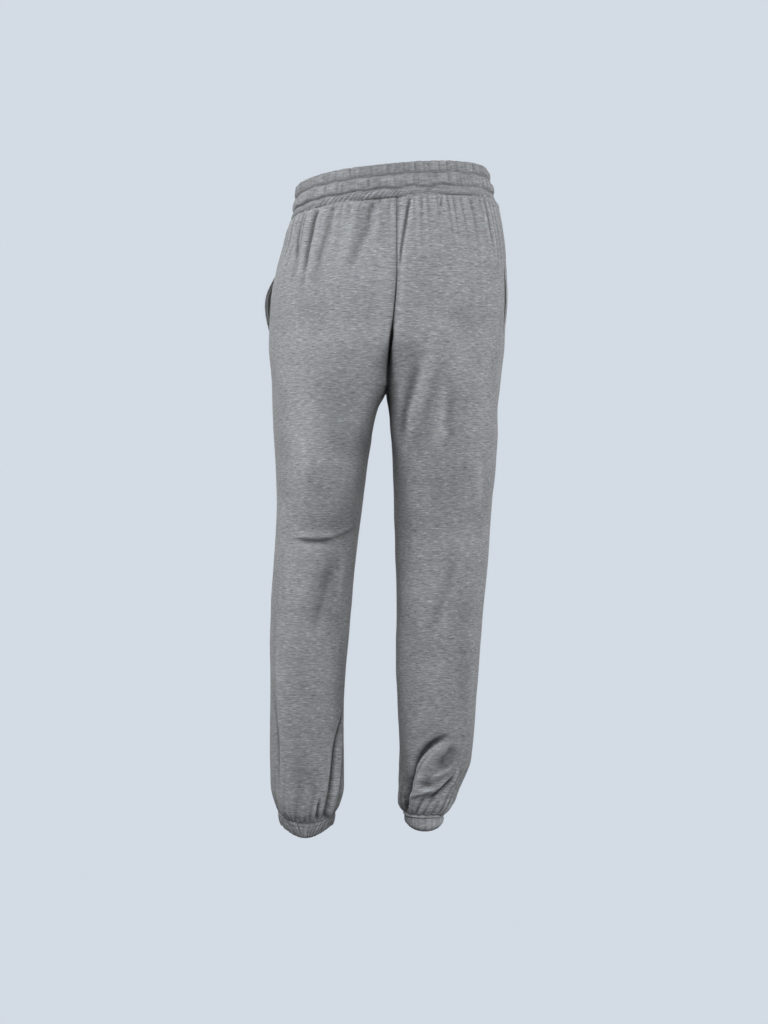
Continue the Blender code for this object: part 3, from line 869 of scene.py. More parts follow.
def waist_gathers(grid):
    """Gathers that run down a panel from the waistband, along the cloth's own wales."""
    down = np.maximum(PANEL_TOP - grid.heights, 0.0)[:, None]
    place = round_waist(grid.points[0, :, 0], grid.points[0, :, 1])[None, :]
    sides, front = at_sides(place), at_front(place)
    flatter = at_back_right(place) * (1 - sides)
    under_strip = place + STRIP_SLANT * (BAND_END - BAND_SEAMS[1]) + STRIP_SPREAD * down
    fine = STRIP_OUT * (0.75 + 0.45 * sides) * (puffs(STRIP, under_strip) - 0.30)
    fine = fine * np.exp(-down / STRIP_REACH) * (1 - 0.75 * flatter)
    lengths = np.random.default_rng(MID_SEED).uniform(*MID_LENGTHS, len(MID_GATHERS.sizes))
    i = np.clip(np.searchsorted(MID_GATHERS.knots, place[0], side="right") - 1, 0, len(lengths) - 1)
    padded = np.pad(lengths[i], MID_BLEND // 2, mode="edge")
    reach = np.convolve(padded, np.ones(MID_BLEND) / MID_BLEND, mode="valid")[None, :]
    strength = MID_OUT.back + MID_OUT.front * front + MID_OUT.sides * sides * (1 - front)
    middle = strength * (puffs(MID_GATHERS, place, 2.0) - 0.55) * np.exp(-down / reach)
    middle = middle * fade_in(down, 0.008, 0.4)
    return fine + middle + puffed(down, WAIST_PUFF) * (1 - 0.7 * flatter)


# The gathers above each cuff: how far they stand out, how tall they are and how much they lean,
# and how far out and how tall the broad gathers among them are.
HemGather = namedtuple("HemGather", "out tall lean")
HEM_GATHERS = {"left": HemGather(0.0044, 0.009, 0.12), "right": HemGather(0.0085, 0.010, -0.45)}
BROAD_OUT = 0.0040
BROAD_TALL = 0.035


def round_a_leg(left_seed, left_count, right_seed, right_count):
    """About so many pleats round each leg's end, placed by the share of the way round."""
    return {
        "left": make_pleats(left_seed, 1.0, lambda place: 1 / left_count),
        "right": make_pleats(right_seed, 1.0, lambda place: 1 / right_count),
    }


# Small pleats that run through a hem and its cuff, the cuff's ribs, and broad pleats up the leg.
HEM_PLEATS = round_a_leg(41, 48, 42, 29)
CUFF_RIBS = round_a_leg(45, 80, 46, 76)
BROAD_PLEATS = round_a_leg(51, 14, 52, 20)


def hem_gathers(grid, hem_length):
    """Gathers that run up a leg from its cuff."""
    up = np.maximum(grid.heights - HEMS[grid.side].end, 0.0)[:, None]
    gather = HEM_GATHERS[grid.side]
    place = BACKWARD[grid.face] * grid.from_seam[-1][None, :]
    leaning = (place - gather.lean * up) / hem_length
    near = (puffs(HEM_PLEATS[grid.side], leaning) - 0.55) * np.exp(-up / gather.tall) * gather.out
    broad = puffs(BROAD_PLEATS[grid.side], leaning, 2.0) - 0.6
    broad = broad * np.exp(-up / BROAD_TALL) * BROAD_OUT * fade_in(up, 0.010)
    return near * fade_in(up, 0.004, 0.5) + broad + puffed(up, HEM_PUFFS[grid.side])


def edge_roll(distance):
    """How far an edge turns in, at a distance from it."""
    near = np.clip(1 - distance / EDGE_ROUND, 0.0, 1.0)
    return -EDGE_ROUND * (1 - np.sqrt(1 - near**2))


def seam_shape(grid):
    """The turned-in edges of a panel, and the grooves along its seams."""
    start = grid.from_seam
    end = np.maximum(grid.width[:, None] - grid.from_seam, 0.0)
    heights = grid.heights[:, None]
    top, bottom = PANEL_TOP - heights, heights - HEMS[grid.side].end
    shape = edge_roll(start) + edge_roll(end) + 0.5 * (edge_roll(top) + edge_roll(bottom))
    mouth = (heights < BAG_TOP) & (heights > MOUTH_BOTTOM)
    depth, wide = SIDE_GROOVE
    shape = shape - np.where(mouth, MOUTH_GROOVE_SHARE, 1.0) * depth * np.exp(-start / wide)
    above, wide_above = CENTRE_GROOVE[grid.face]
    below, wide_below = INSEAM_GROOVE
    share = fade_in(heights - CROTCH, 0.03)
    above = above * (1 + CLEFT_DEEPER * fade_in(CLEFT_STARTS - heights, 0.04))
    shape = shape - share * above * np.exp(-end / wide_above)
    return shape - (1 - share) * below * np.exp(-end / wide_below)


def distance_to_end(grid):
    """How far each row of a panel is from its waist seam or its hem, the nearer of the two."""
    return np.minimum(PANEL_TOP - grid.heights, grid.heights - HEMS[grid.side].end)


def panel_detail(grid, hem_length):
    """How far all the detail of a panel pushes its points out."""
    detail = seam_shape(grid) + waist_gathers(grid) + hem_gathers(grid, hem_length)
    edge = np.minimum(grid.from_seam, grid.width[:, None] - grid.from_seam)
    detail += uneven(grid.points) * fade_in(edge, 0.020, 0.25)
    calm = fade_in(edge, 0.006, 0.3) * fade_in(distance_to_end(grid)[:, None], 0.008, 0.12)
    behind = grid.face == "back"
    for fold in (BACK_FOLDS if behind else FRONT_FOLDS)[grid.side]:
        path = smooth_path(places_in_picture(grid, fold.path) if behind else fold.path)
        detail += fold_field(grid, fold, path, OUTWARD[grid.side] if behind else 1.0) * calm
    return detail


def blurred(field, across, down):
    """A field of a grid, smoothed over some columns and rows."""
    for axis, reach in ((1, across), (0, down)):
        kernel = np.hanning(2 * reach + 3)[1:-1]
        kernel /= kernel.sum()
        pad = [(0, 0), (0, 0)]
        pad[axis] = (reach, reach)
        padded = np.pad(field, pad, mode="edge")
        field = np.apply_along_axis(np.convolve, axis, padded, kernel, "valid")
    return field


def from_column(grid, table, column):
    """How far each point of a panel is from a column of a table, along X."""
    line = np.array([[read_table(table, column, height)] for height in grid.heights])
    return np.abs(grid.points[..., 0] - line)


def painted_crease_shading(grid, detail):
    """The light and shade painted into the cloth's colour at each point: painted shade down in its
    creases and painted highlight on its folds, less so next to the seams at a panel's ends, the
    darkest painted shade in the cleft above the crotch, painted shade along the right leg's inner
    edge, and each side's painted shadows and painted light."""
    painted_shading = np.ones(detail.shape)
    for shade in PAINTED_CREASE_SHADES:
        relief = (detail - blurred(detail, shade.across, shade.down)) / shade.relief
        painted_shading += shade.strength * np.clip(relief, -1.0, shade.lift)
    painted_shading = 1 + (painted_shading - 1) * fade_in(distance_to_end(grid)[:, None], 0.004, SEAM_PAINTED_SHADE_SHARE)
    if grid.face == "front":
        return painted_shading
    # Painted shade in the cleft above the crotch.
    heights = grid.heights[:, None]
    deep = fade_in(CLEFT_DARK_STARTS - heights, 0.07) * fade_in(heights - CLEFT_DARK_ENDS, 0.06)
    narrow, widens = CLEFT_DARK[grid.side]
    wide = narrow + widens * fade_in(CLEFT_WIDENS - heights, 0.064)
    aside = from_column(grid, MIDDLE_PLANE, "x")
    painted_shading = painted_shading * (1 - CLEFT_PAINTED_SHADE * deep * np.exp(-((aside / wide) ** 3)))
    # Painted shade along the inner edge of the right leg.
    if grid.side == "right":
        strength, wide = INNER_PAINTED_SHADE
        beside = fade_in(CROTCH - heights, 0.020) * fade_in(heights - INNER_SHADE_ENDS, 0.45)
        painted_shading = painted_shading * (1 - strength * beside * bell(from_column(grid, RIGHT_LEG, "inner"), wide))
    # Painted shadows, and painted light where a shadow's `out` is below 0.
    for shadow in PAINTED_SHADOWS[grid.side]:
        path = smooth_path(places_in_picture(grid, shadow.path))
        painted_shading = painted_shading * (1 - fold_field(grid, shadow, path, OUTWARD[grid.side]))
    return painted_shading


# === Meshes ===


def set_cloth(mesh, measure, painted_shading):
    """Stores the cloth's own measure and the light and shade painted into its colour at each point,
    for its material.
    """
    data = mesh.attributes.new("cloth", "FLOAT_VECTOR", "POINT").data
    data.foreach_set("vector", measure.reshape(-1, 3).astype(np.float32).ravel())
    data = mesh.attributes.new("painted_shading", "FLOAT", "POINT").data
    data.foreach_set("value", painted_shading.astype(np.float32).ravel())


def grid_mesh(name, points, cloth, painted_shading, closed=False):
    """A mesh of quads through a grid of points, closed both ways round if it is a tube's skin."""
    rows, columns = points.shape[:2]
    open_edge = 0 if closed else 1
    i, j = np.meshgrid(np.arange(rows - open_edge), np.arange(columns - open_edge), indexing="ij")
    i2, j2 = (i + 1) % rows, (j + 1) % columns
    quads = np.stack([a * columns + b for a, b in ((i, j), (i, j2), (i2, j2), (i2, j))], -1)
    flat = points.reshape(-1, 3)
    mesh = bpy.data.meshes.new(name)
    mesh.vertices.add(len(flat))
    mesh.vertices.foreach_set("co", flat.astype(np.float32).ravel())
    mesh.loops.add(quads.size)
    mesh.loops.foreach_set("vertex_index", quads.astype(np.int32).ravel())
    mesh.polygons.add(quads.size // 4)
    mesh.polygons.foreach_set("loop_start", np.arange(0, quads.size, 4, dtype=np.int32))
    set_cloth(mesh, cloth, painted_shading)
    mesh.update(calc_edges=True)
    mesh.validate()
    mesh.shade_smooth()
    return mesh


def mesh_of(name, shape):
    """A mesh of a shape, which isn't needed after that."""
    mesh = bpy.data.meshes.new(name)
    shape.to_mesh(mesh)
    shape.free()
    return mesh


def add_object(name, data):
    """A new object in the scene."""
    thing = bpy.data.objects.new(name, data)
    bpy.context.scene.collection.objects.link(thing)
    return thing


def add_piece(mesh, node, materials):
    """A piece of the object that stands for a node of the frame."""
    piece = add_object(mesh.name, mesh)
    for material in materials:
        mesh.materials.append(material)
    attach(piece, "root")
    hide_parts(node)
    return piece


def add_shell(piece, thickness):
    """Gives an open surface its thickness towards the inside, where it shows its other face."""
    shell = piece.modifiers.new("Thickness", "SOLIDIFY")
    shell.thickness = thickness
    shell.offset = -1.0
    shell.material_offset = 1
    shell.material_offset_rim = 0


# === Materials ===

HEATHER = (0.286, 0.299, 0.318)
BAND_HEATHER = (0.276, 0.288, 0.306)
BRUSHED = (0.330, 0.338, 0.352)
JERSEY = (0.230, 0.238, 0.252)
# The two tints that the cloth's hue wanders between, and the height of its surface's relief.
WARM = (1.035, 1.0, 0.965)
COOL = (0.965, 1.0, 1.035)
BUMP_HEIGHT = 0.0003
# The noises of the knit, with the size of their spots along the courses and along the wales.
Noise = namedtuple("Noise", "courses wales offset detail roughness")
STREAK = Noise(0.0120, 0.0018, (0.0, 0.0, 0.0), 3.0, 0.70)
FLECK = Noise(0.0085, 0.0014, (31.0, 17.0, 5.0), 1.0, 0.5)
DARK_FLECK = FLECK._replace(offset=(-43.0, 71.0, 9.0))
HUE_SPOT = Noise(0.012, 0.006, (11.0, 2.0, 1.0), 2.0, 0.6)
CLOUD = Noise(0.035, 0.009, (3.0, 5.0, 7.0), 2.0, 0.5)
YARN = Noise(0.0011, 0.0009, (0.0, 0.0, 0.0), 1.0, 0.6)


def add_noise(tree, measure, look):
    """A noise texture on the cloth's measure."""
    mapping = tree.nodes.new("ShaderNodeMapping")
    mapping.inputs["Scale"].default_value = (1 / look.courses, 1 / look.wales, 1.0)
    mapping.inputs["Location"].default_value = look.offset
    tree.links.new(measure, mapping.inputs["Vector"])
    noise = tree.nodes.new("ShaderNodeTexNoise")
    noise.inputs["Scale"].default_value = 1.0
    noise.inputs["Detail"].default_value = look.detail
    noise.inputs["Roughness"].default_value = look.roughness
    tree.links.new(mapping.outputs["Vector"], noise.inputs["Vector"])
    return noise.outputs["Fac"]


def map_range(tree, value, *limits):
    """A value mapped smoothly from two limits to two others."""
    node = tree.nodes.new("ShaderNodeMapRange")
    node.interpolation_type = "SMOOTHSTEP"
    for name, number in zip(("From Min", "From Max", "To Min", "To Max"), limits):
        node.inputs[name].default_value = number
    tree.links.new(value, node.inputs["Value"])
    return node.outputs["Result"]


def combine(tree, operation, first, second):
    """The result of a sum on two values or sockets."""
    node = tree.nodes.new("ShaderNodeMath")
    node.operation = operation
    for socket, value in zip(node.inputs, (first, second)):
        if isinstance(value, float):
            socket.default_value = value
        else:
            tree.links.new(value, socket)
    return node.outputs["Value"]


def knit_material(name, colour, streaks, flecks, bump, sheen, roughness):
    """Heather knit: short light and dark streaks and flecks along the courses, and fine yarns."""
    material = bpy.data.materials.new(name)
    material.use_nodes = True
    tree = material.node_tree
    nodes, links = tree.nodes, tree.links
    shader = nodes["Principled BSDF"]
    shader.inputs["Roughness"].default_value = roughness
    shader.inputs["Specular IOR Level"].default_value = 0.25
    shader.inputs["Sheen Roughness"].default_value = 0.6
    attribute = nodes.new("ShaderNodeAttribute")
    attribute.attribute_name = "cloth"
    streak, fleck, dark, cloud, yarn, hue_spot = (
        add_noise(tree, attribute.outputs["Vector"], look)
        for look in (STREAK, FLECK, DARK_FLECK, CLOUD, YARN, HUE_SPOT)
    )
    value = combine(
        tree,
        "ADD",
        map_range(tree, streak, 0.28, 0.72, 1.0 - streaks, 1.0 + streaks),
        map_range(tree, fleck, 0.60, 0.68, 0.0, flecks),
    )
    # The light and shade painted at each point scales the cloth's colour.
    shade = nodes.new("ShaderNodeAttribute")
    shade.attribute_name = "painted_shading"
    for operation, part in (
        ("SUBTRACT", map_range(tree, dark, 0.60, 0.70, 0.0, flecks * 0.7)),
        ("MULTIPLY", map_range(tree, cloud, 0.30, 0.70, 0.945, 1.055)),
        ("MULTIPLY", map_range(tree, yarn, 0.25, 0.75, 0.93, 1.07)),
        ("MULTIPLY", shade.outputs["Fac"]),
    ):
        value = combine(tree, operation, value, part)
    # The sheen is dimmed by the same painted shade, so that the painted dark places stay dark.
    glow = combine(tree, "MULTIPLY", shade.outputs["Fac"], sheen)
    links.new(glow, shader.inputs["Sheen Weight"])
    hue = nodes.new("ShaderNodeMix")
    hue.data_type = "RGBA"
    for socket, share in (("A_Color", WARM), ("B_Color", COOL)):
        tint = tuple(part * by for part, by in zip(colour, share))
        next(i for i in hue.inputs if i.identifier == socket).default_value = (*tint, 1.0)
    links.new(hue_spot, hue.inputs["Factor"])
    scale = nodes.new("ShaderNodeVectorMath")
    scale.operation = "SCALE"
    links.new(next(o for o in hue.outputs if o.identifier == "Result_Color"), scale.inputs[0])
    links.new(value, scale.inputs["Scale"])
    links.new(scale.outputs["Vector"], shader.inputs["Base Color"])
    bump_node = nodes.new("ShaderNodeBump")
    bump_node.inputs["Strength"].default_value = bump
    bump_node.inputs["Distance"].default_value = BUMP_HEIGHT
    relief = combine(tree, "ADD", streak, combine(tree, "MULTIPLY", yarn, 0.25))
    links.new(relief, bump_node.inputs["Height"])
    links.new(bump_node.outputs["Normal"], shader.inputs["Normal"])
    return material


heather = knit_material("heather_knit", HEATHER, 0.27, 0.52, 0.30, 0.18, 0.90)
band_heather = knit_material("heather_band", BAND_HEATHER, 0.24, 0.32, 0.30, 0.16, 0.90)
brushed = knit_material("brushed_back", BRUSHED, 0.12, 0.10, 0.40, 0.35, 0.97)
jersey = knit_material("pocket_jersey_knit", JERSEY, 0.06, 0.04, 0.30, 0.10, 0.92)

# === Panels and pocket bags ===

# Numbers that keep the streaks of each piece of cloth apart from those of the others.
CLOTH_OFFSETS = {
    ("left", "back"): 0.0,
    ("left", "front"): 3.7,
    ("right", "back"): 7.1,
    ("right", "front"): 11.9,
}
BAND_CLOTH_OFFSET = 17.3
CUFF_CLOTH_OFFSET = 23.9
# How much coarser a bag's grid is than its panel's, how much of the panel's width it spans, and
# how much its lower corner is rounded.
BAG_STEP = 3
BAG_COLUMN_SHARE = 0.50
BAG_CORNER = 0.60


def cloth_measure(grid):
    """The cloth's own measure at each point of a panel: across, along, and which panel."""
    measure = np.empty(grid.points.shape)
    measure[..., 0] = grid.from_seam * OUTWARD[grid.side]
    measure[..., 1] = grid.heights[:, None]
    measure[..., 2] = CLOTH_OFFSETS[(grid.side, grid.face)]
    return measure


def add_panel(grid, detail):
    """A leg panel: its cloth's outer face, with the thickness inside it."""
    points = grid.points + grid.normals * detail[..., None]
    place = grid.face + "_" + grid.side
    painted_shading = painted_crease_shading(grid, detail)
    mesh = grid_mesh("panel_" + place, points, cloth_measure(grid), painted_shading)
    face = mesh.polygons[len(mesh.polygons) // 2 + grid.points.shape[1] // 2]
    row, column = divmod(face.vertices[0], grid.points.shape[1])
    if face.normal.dot(Vector(grid.normals[row, column])) < 0:
        mesh.flip_normals()
    piece = add_piece(mesh, place, (heather, brushed))
    add_shell(piece, LEG_CLOTH)


def add_pocket_bag(grid, detail):
    """The two layers of a pocket bag, inside a front panel."""
    inside = np.flatnonzero((grid.heights <= BAG_TOP) & (grid.heights >= BAG_BOTTOM))
    rows = inside[::BAG_STEP]
    columns = np.arange(0, int(grid.points.shape[1] * BAG_COLUMN_SHARE), BAG_STEP)
    pick = np.ix_(rows, columns)
    base, normal = grid.points[pick], grid.normals[pick]
    push = np.minimum(detail[pick][..., None], 0.0)
    near = base + normal * (push - LEG_CLOTH - BAG_CLEAR)
    depth = LEG_CLOTH + BAG_CLEAR + POCKET_CLOTH + BAG_HOLLOW
    far = base - normal * depth + normal * 0.25 * push
    corner = (np.linspace(0.0, 1.0, len(rows)) ** 4 * BAG_CORNER)[:, None, None]
    for layer in (near, far):
        tail = layer[:, -4:]
        layer[:, -4:] = tail + (layer[:, -5:-4] - tail) * corner
    shape = bmesh.new()
    lines = [
        [shape.verts.new(point) for point in (*out, *home[::-1])] for out, home in zip(near, far)
    ]
    last = 2 * len(columns) - 1
    for upper, lower in zip(lines, lines[1:]):
        for i in range(last):
            shape.faces.new((upper[i], upper[i + 1], lower[i + 1], lower[i]))
    for line in (lines[0], lines[-1]):
        for i in range(len(columns) - 1):
            shape.faces.new((line[i], line[i + 1], line[last - 1 - i], line[last - i]))
    for row, upper, lower in zip(rows, lines, lines[1:]):
        if grid.heights[row] < MOUTH_BOTTOM:
            shape.faces.new((upper[0], upper[last], lower[last], lower[0]))
    bmesh.ops.recalc_face_normals(shape, faces=shape.faces[:])
    mesh = mesh_of("pocket_bag_" + grid.side, shape)
    points = np.empty(len(mesh.vertices) * 3, np.float32)
    mesh.vertices.foreach_get("co", points)
    points = points.reshape(-1, 3)
    set_cloth(mesh, points[:, (1, 2, 0)], np.ones(len(points)))
    mesh.shade_smooth()
    piece = add_piece(mesh, "pocket_" + grid.side, (jersey, jersey))
    add_shell(piece, POCKET_CLOTH)


for side in ("left", "right"):
    grids = {face: panel_grid(side, face) for face in ("back", "front")}
    hem_length = float(sum(grid.width[-1] for grid in grids.values()))
    for face, grid in grids.items():
        detail = panel_detail(grid, hem_length)
        add_panel(grid, detail)
        if face == "front":
            add_pocket_bag(grid, detail)

# === Waistband and cuffs: closed tubes of doubled cloth ===


def tube_row(points, place, along, offset, painted_shading):
    """A row of a tube: its points, the cloth's own measure there, and the light and shade painted
    into its colour.
    """
    measure = (place, np.full_like(place, along), np.full_like(place, offset))
    return points, np.stack(measure, 1), painted_shading


def add_tube(name, node, rows):
    """A closed tube of band cloth through rows that run along its outer face and back inside."""
    points, measures, painted_shadings = (np.array(part) for part in zip(*rows))
    mesh = grid_mesh(name, points, measures, painted_shadings, closed=True)
    shape = bmesh.new()
    shape.from_mesh(mesh)
    if shape.calc_volume(signed=True) < 0:
        bmesh.ops.reverse_faces(shape, faces=shape.faces[:])
        shape.to_mesh(mesh)
    shape.free()
    piece = add_piece(mesh, node, (band_heather,))


def half_turn(steps):
    """Angles between the two faces of a rounded edge."""
    return np.linspace(0.0, math.pi, steps + 2)[1:-1]


# The pleats of the band's two channels, broad and fine, and the puckers of its stitches.
CHANNEL_1 = make_pleats(51, WAIST_LENGTH, channel_spacing(0.0135), 0.60)
CHANNEL_1_FINE = make_pleats(56, WAIST_LENGTH, lambda place: 0.0064, 0.55)
CHANNEL_2 = make_pleats(52, WAIST_LENGTH, channel_spacing(0.0165), 0.60)
CHANNEL_2_FINE = make_pleats(53, WAIST_LENGTH, lambda place: 0.0072, 0.55)
PUCKERS = make_pleats(55, WAIST_LENGTH, lambda place: 0.0034)
CHANNEL_1_OUT = 0.0026
CHANNEL_2_OUT = 0.0034
CHANNEL_FINE_OUT = 0.0017
PUCKER_OUT = 0.0012
STITCH_WIDE = 0.0022
STITCH_WANDER = 0.0010
STRIP_FLATTER = 0.0012
BAND_TOP_ROUND = 7
BAND_INNER_ROWS = 16
# The band's painted shade: how much darker its creases are painted than its level cloth, and its
# first channel as a whole.
BAND_PAINTED_SHADE = 0.28
BAND_LEVEL = 0.0028
TOP_PAINTED_SHADE = 0.03


def window(depth, low, high):
    """1 in the middle of a channel and 0 at its stitched edges."""
    t = np.clip((depth - low) / (high - low), 0.0, 1.0)
    return (4 * t * (1 - t)) ** 0.6


def band_detail(depth, place):
    """Pleats of the waistband's outer face at a depth, for places round the waist."""
    sides, right = at_sides(place), at_back_right(place)
    lean = 0.0022 * waves(61, WAIST_LENGTH, 5, place, 3, 20)
    first, second = BAND_SEAMS
    channel_1 = puffs(CHANNEL_1, place + lean * (depth / first), 3.0) - 0.60
    channel_2 = puffs(CHANNEL_2, place - lean * ((depth - first) / first), 3.0) - 0.60
    fine_1 = puffs(CHANNEL_1_FINE, place - 2 * lean, 2.0) - 0.5
    fine_2 = puffs(CHANNEL_2_FINE, place + 2 * lean, 2.0) - 0.5
    strip = puffs(STRIP, place + STRIP_SLANT * (depth - second)) - 0.55
    pucker = puffs(PUCKERS, place, 2.0) - 0.5
    stitched = sum(bell(depth - seam, STITCH_WIDE) for seam in BAND_SEAMS)
    upper = CHANNEL_1_OUT * channel_1 + CHANNEL_FINE_OUT * fine_1
    lower = (CHANNEL_2_OUT - 0.0006 * sides) * channel_2 + CHANNEL_FINE_OUT * fine_2
    return (
        window(depth, -0.004, first) * upper
        + window(depth, first, second) * lower
        + window(depth, second, BAND_END + 0.008) * STRIP_OUT * (1 - 0.6 * right) * strip
        + stitched * PUCKER_OUT * pucker
    )


def add_waistband():
    """The waistband: its outer face, its rounded top edge and its inner face."""
    place = np.arange(BAND_COLUMNS) * WAIST_LENGTH / BAND_COLUMNS
    angle = waist_angle(place)
    depths, prouds = zip(*BAND_PROFILE)
    first, second = BAND_SEAMS
    wander_1, wander_2 = (
        STITCH_WANDER * waves(seed, WAIST_LENGTH, 6, place, 6, 34) for seed in (62, 63)
    )
    plain = np.ones_like(place)
    rows = []

    def add_row(depth, proud, lift, along, painted_shading):
        x, y = waist_ring(depth, proud, angle)
        points = np.stack((x, y, -depth + tilt(PANEL_TOP, x, y) + lift), 1)
        rows.append(tube_row(points, place, along, BAND_CLOTH_OFFSET, painted_shading))

    for depth in np.linspace(BAND_END, 0.0, BAND_ROWS):
        sway = wander_1 * ease(1 - abs(depth - first) / first)
        sway = sway + wander_2 * ease(1 - abs(depth - second) / (BAND_END - second))
        profile = np.interp(np.clip(depth + sway, 0.0, BAND_END), depths, prouds)
        detail = band_detail(depth, place)
        flatter = STRIP_FLATTER * at_back_right(place) * fade_in(depth - second, 0.004)
        # Painted shade in the band's creases and grooves, and over its whole first channel.
        relief = (detail + 0.4 * (profile - BAND_LEVEL)) / BAND_LEVEL
        top = TOP_PAINTED_SHADE * fade_in(first - depth, 0.002)
        painted_shading = 1 + (BAND_PAINTED_SHADE * np.clip(relief, -1.0, 0.4) - top)
        add_row(depth, profile + detail - flatter, 0.0, -depth, painted_shading)
    top_out = prouds[0] + band_detail(0.0, place)
    bump = 0.0004 * (puffs(CHANNEL_1, place, 2.0) - 0.5)
    radius = BAND_CLOTH / 2
    for turn in half_turn(BAND_TOP_ROUND):
        proud = top_out - radius * (1 - math.cos(turn))
        lift = (radius * 0.75 + bump) * math.sin(turn)
        add_row(0.0, proud, lift, radius * math.sin(turn), plain)
    for depth in np.linspace(0.0, BAND_END, BAND_INNER_ROWS):
        ripple = 0.5 * band_detail(max(depth, 0.002), place)
        proud = np.interp(depth, depths, prouds) * 0.5 - BAND_CLOTH + ripple + 0.0003
        add_row(depth, proud, 0.0, 0.02 - depth, plain)
    add_tube("band_waist", "waistband", rows)


# What a cuff looks like: the height of its pleats, how much painted light brightens it, and its
# outer profile: the share of the way down, and how far the cloth is drawn in there.
CuffStyle = namedtuple("CuffStyle", "pleat light shares drawn")
CUFF_STYLES = {
    "left": CuffStyle(
        pleat=0.0046,
        light=1.0,
        shares=(-0.1, 0.0, 0.08, 0.18, 0.26, 0.36, 0.6, 0.9, 1.0),
        drawn=(0.0014, 0.0, -0.0006, -0.0008, 0.0004, -0.0006, -0.0002, 0.0006, 0.0018),
    ),
    "right": CuffStyle(
        pleat=0.0017,
        # Painted light: the right cuff's colour is painted lighter.
        light=1.30,
        shares=(-0.1, 0.0, 0.05, 0.13, 0.20, 0.24, 0.30, 0.7, 0.9, 1.0),
        drawn=(0.0026, 0.0004, -0.0010, -0.0018, -0.0004, 0.0020, 0.0004, 0.0002, 0.0012, 0.0030),
    ),
}
# How far a cuff reaches up into its leg, as a share of its height.
CUFF_TUCK = -0.09
# How much painted shade darkens a cuff where it is drawn in, from which depth on, and over what
# depth.
CUFF_PAINTED_SHADE = 0.46
CUFF_LEVEL = 0.0004
CUFF_RELIEF = 0.0020
CUFF_ROWS = 26
CUFF_ROUND = 6
CUFF_INNER_ROWS = 10
CUFF_SAMPLES = 1441


def cuff_ring(side, height, angle, drawn_in):
    """A ring of a cuff, which carries on from the end of the leg's sections."""
    hem = HEMS[side]
    section = leg_section(side, hem.end)
    low = max((hem.end - height) / (hem.end - hem.cuff_bottom), 0.0)
    pinch = 1 - hem.pinch * low * np.maximum(0.0, np.sin(angle))
    x, y = section_point(section, angle)
    x = section.centre + (x - section.centre) * pinch
    drop = (1 - low) * hem_drop(hem.seam, section, y) + low * hem_drop(hem.edge, section, y)
    inward = np.stack((section.centre - x, section.middle_y - y), 1)
    inward /= np.linalg.norm(inward, axis=1, keepdims=True)
    return np.stack((x + inward[:, 0] * drawn_in, y + inward[:, 1] * drawn_in, height - drop), 1)


def add_cuff(side):
    """A cuff: its outer face, its rounded bottom edge and its inner face."""
    hem, style = HEMS[side], CUFF_STYLES[side]
    fine = np.linspace(0.0, 2 * np.pi, CUFF_SAMPLES)
    ring = cuff_ring(side, (hem.end + hem.cuff_bottom) / 2, fine, np.zeros_like(fine))
    run = way_along(*ring.T)
    place = np.arange(CUFF_COLUMNS) * run[-1] / CUFF_COLUMNS
    angle = np.interp(place, run, fine)
    large = puffs(HEM_PLEATS[side], place / run[-1]) - 0.55
    small = puffs(CUFF_RIBS[side], place / run[-1]) - 0.5
    top = hem.end - CUFF_GAP
    tall = top - hem.cuff_bottom
    radius = CUFF_CLOTH / 2
    rows = []

    def pleated(share):
        swell = 0.55 + 0.45 * math.sin(math.pi * min(max(share, 0.0), 0.95))
        return style.pleat * (swell * large + 0.35 * small)

    def add_row(share, drawn_in, sunk, along):
        # Painted shade where the cuff is drawn in, times the painted light of its style.
        depth = np.clip((drawn_in - CUFF_LEVEL) / CUFF_RELIEF, -0.3, 1.0)
        painted_shading = style.light * (1 - CUFF_PAINTED_SHADE * depth)
        points = cuff_ring(side, top - share * tall, angle, drawn_in) - (0.0, 0.0, sunk)
        rows.append(tube_row(points, place, along, CUFF_CLOTH_OFFSET, painted_shading))

    for share in np.linspace(CUFF_TUCK, 1.0, CUFF_ROWS):
        drawn_in = np.interp(share, style.shares, style.drawn) - pleated(share)
        add_row(share, drawn_in, 0.0, -share * tall)
    for turn in half_turn(CUFF_ROUND):
        drawn_in = style.drawn[-1] - pleated(1.0) + radius * (1 - math.cos(turn))
        down = radius * math.sin(turn)
        add_row(1.0, drawn_in, down * 0.7, -tall - down)
    for share in np.linspace(1.0, CUFF_TUCK, CUFF_INNER_ROWS):
        inner = np.interp(share, style.shares, style.drawn) * 0.5 + CUFF_CLOTH
        add_row(share, inner - 0.4 * pleated(share), 0.0, 0.03 + share * tall)
    add_tube("band_cuff_" + side, "cuff_" + side, rows)


add_waistband()
for side in ("left", "right"):
    add_cuff(side)

# === Camera, light and stage ===

BACKGROUND = (0.651, 0.708, 0.776, 1.0)
LIGHT_COLOUR = (1.0, 0.995, 0.985)
FLOOR_HEIGHT = -1.30
STAGE_REACH = 9.0


def add_camera():
    """The camera that took the picture: level, behind the garment and facing it."""
    data = bpy.data.cameras.new("camera")
    data.sensor_width = SENSOR
    data.lens = FOCAL_PIXELS * SENSOR / PICTURE_HEIGHT
    camera = bpy.context.scene.camera = add_object("camera", data)
    camera.location = CAMERA
    camera.rotation_euler = (math.radians(90), 0.0, math.radians(180))


def add_light(name, place, aim, size, energy, spread):
    """A round soft light at a place, which shines at its aim."""
    data = bpy.data.lights.new(name, "AREA")
    data.shape = "DISK"
    data.size = size
    data.energy = energy
    data.color = LIGHT_COLOUR
    data.spread = math.radians(spread)
    light = add_object(name, data)
    light.location = place
    light.rotation_euler = (Vector(aim) - Vector(place)).to_track_quat("-Z", "Y").to_euler()


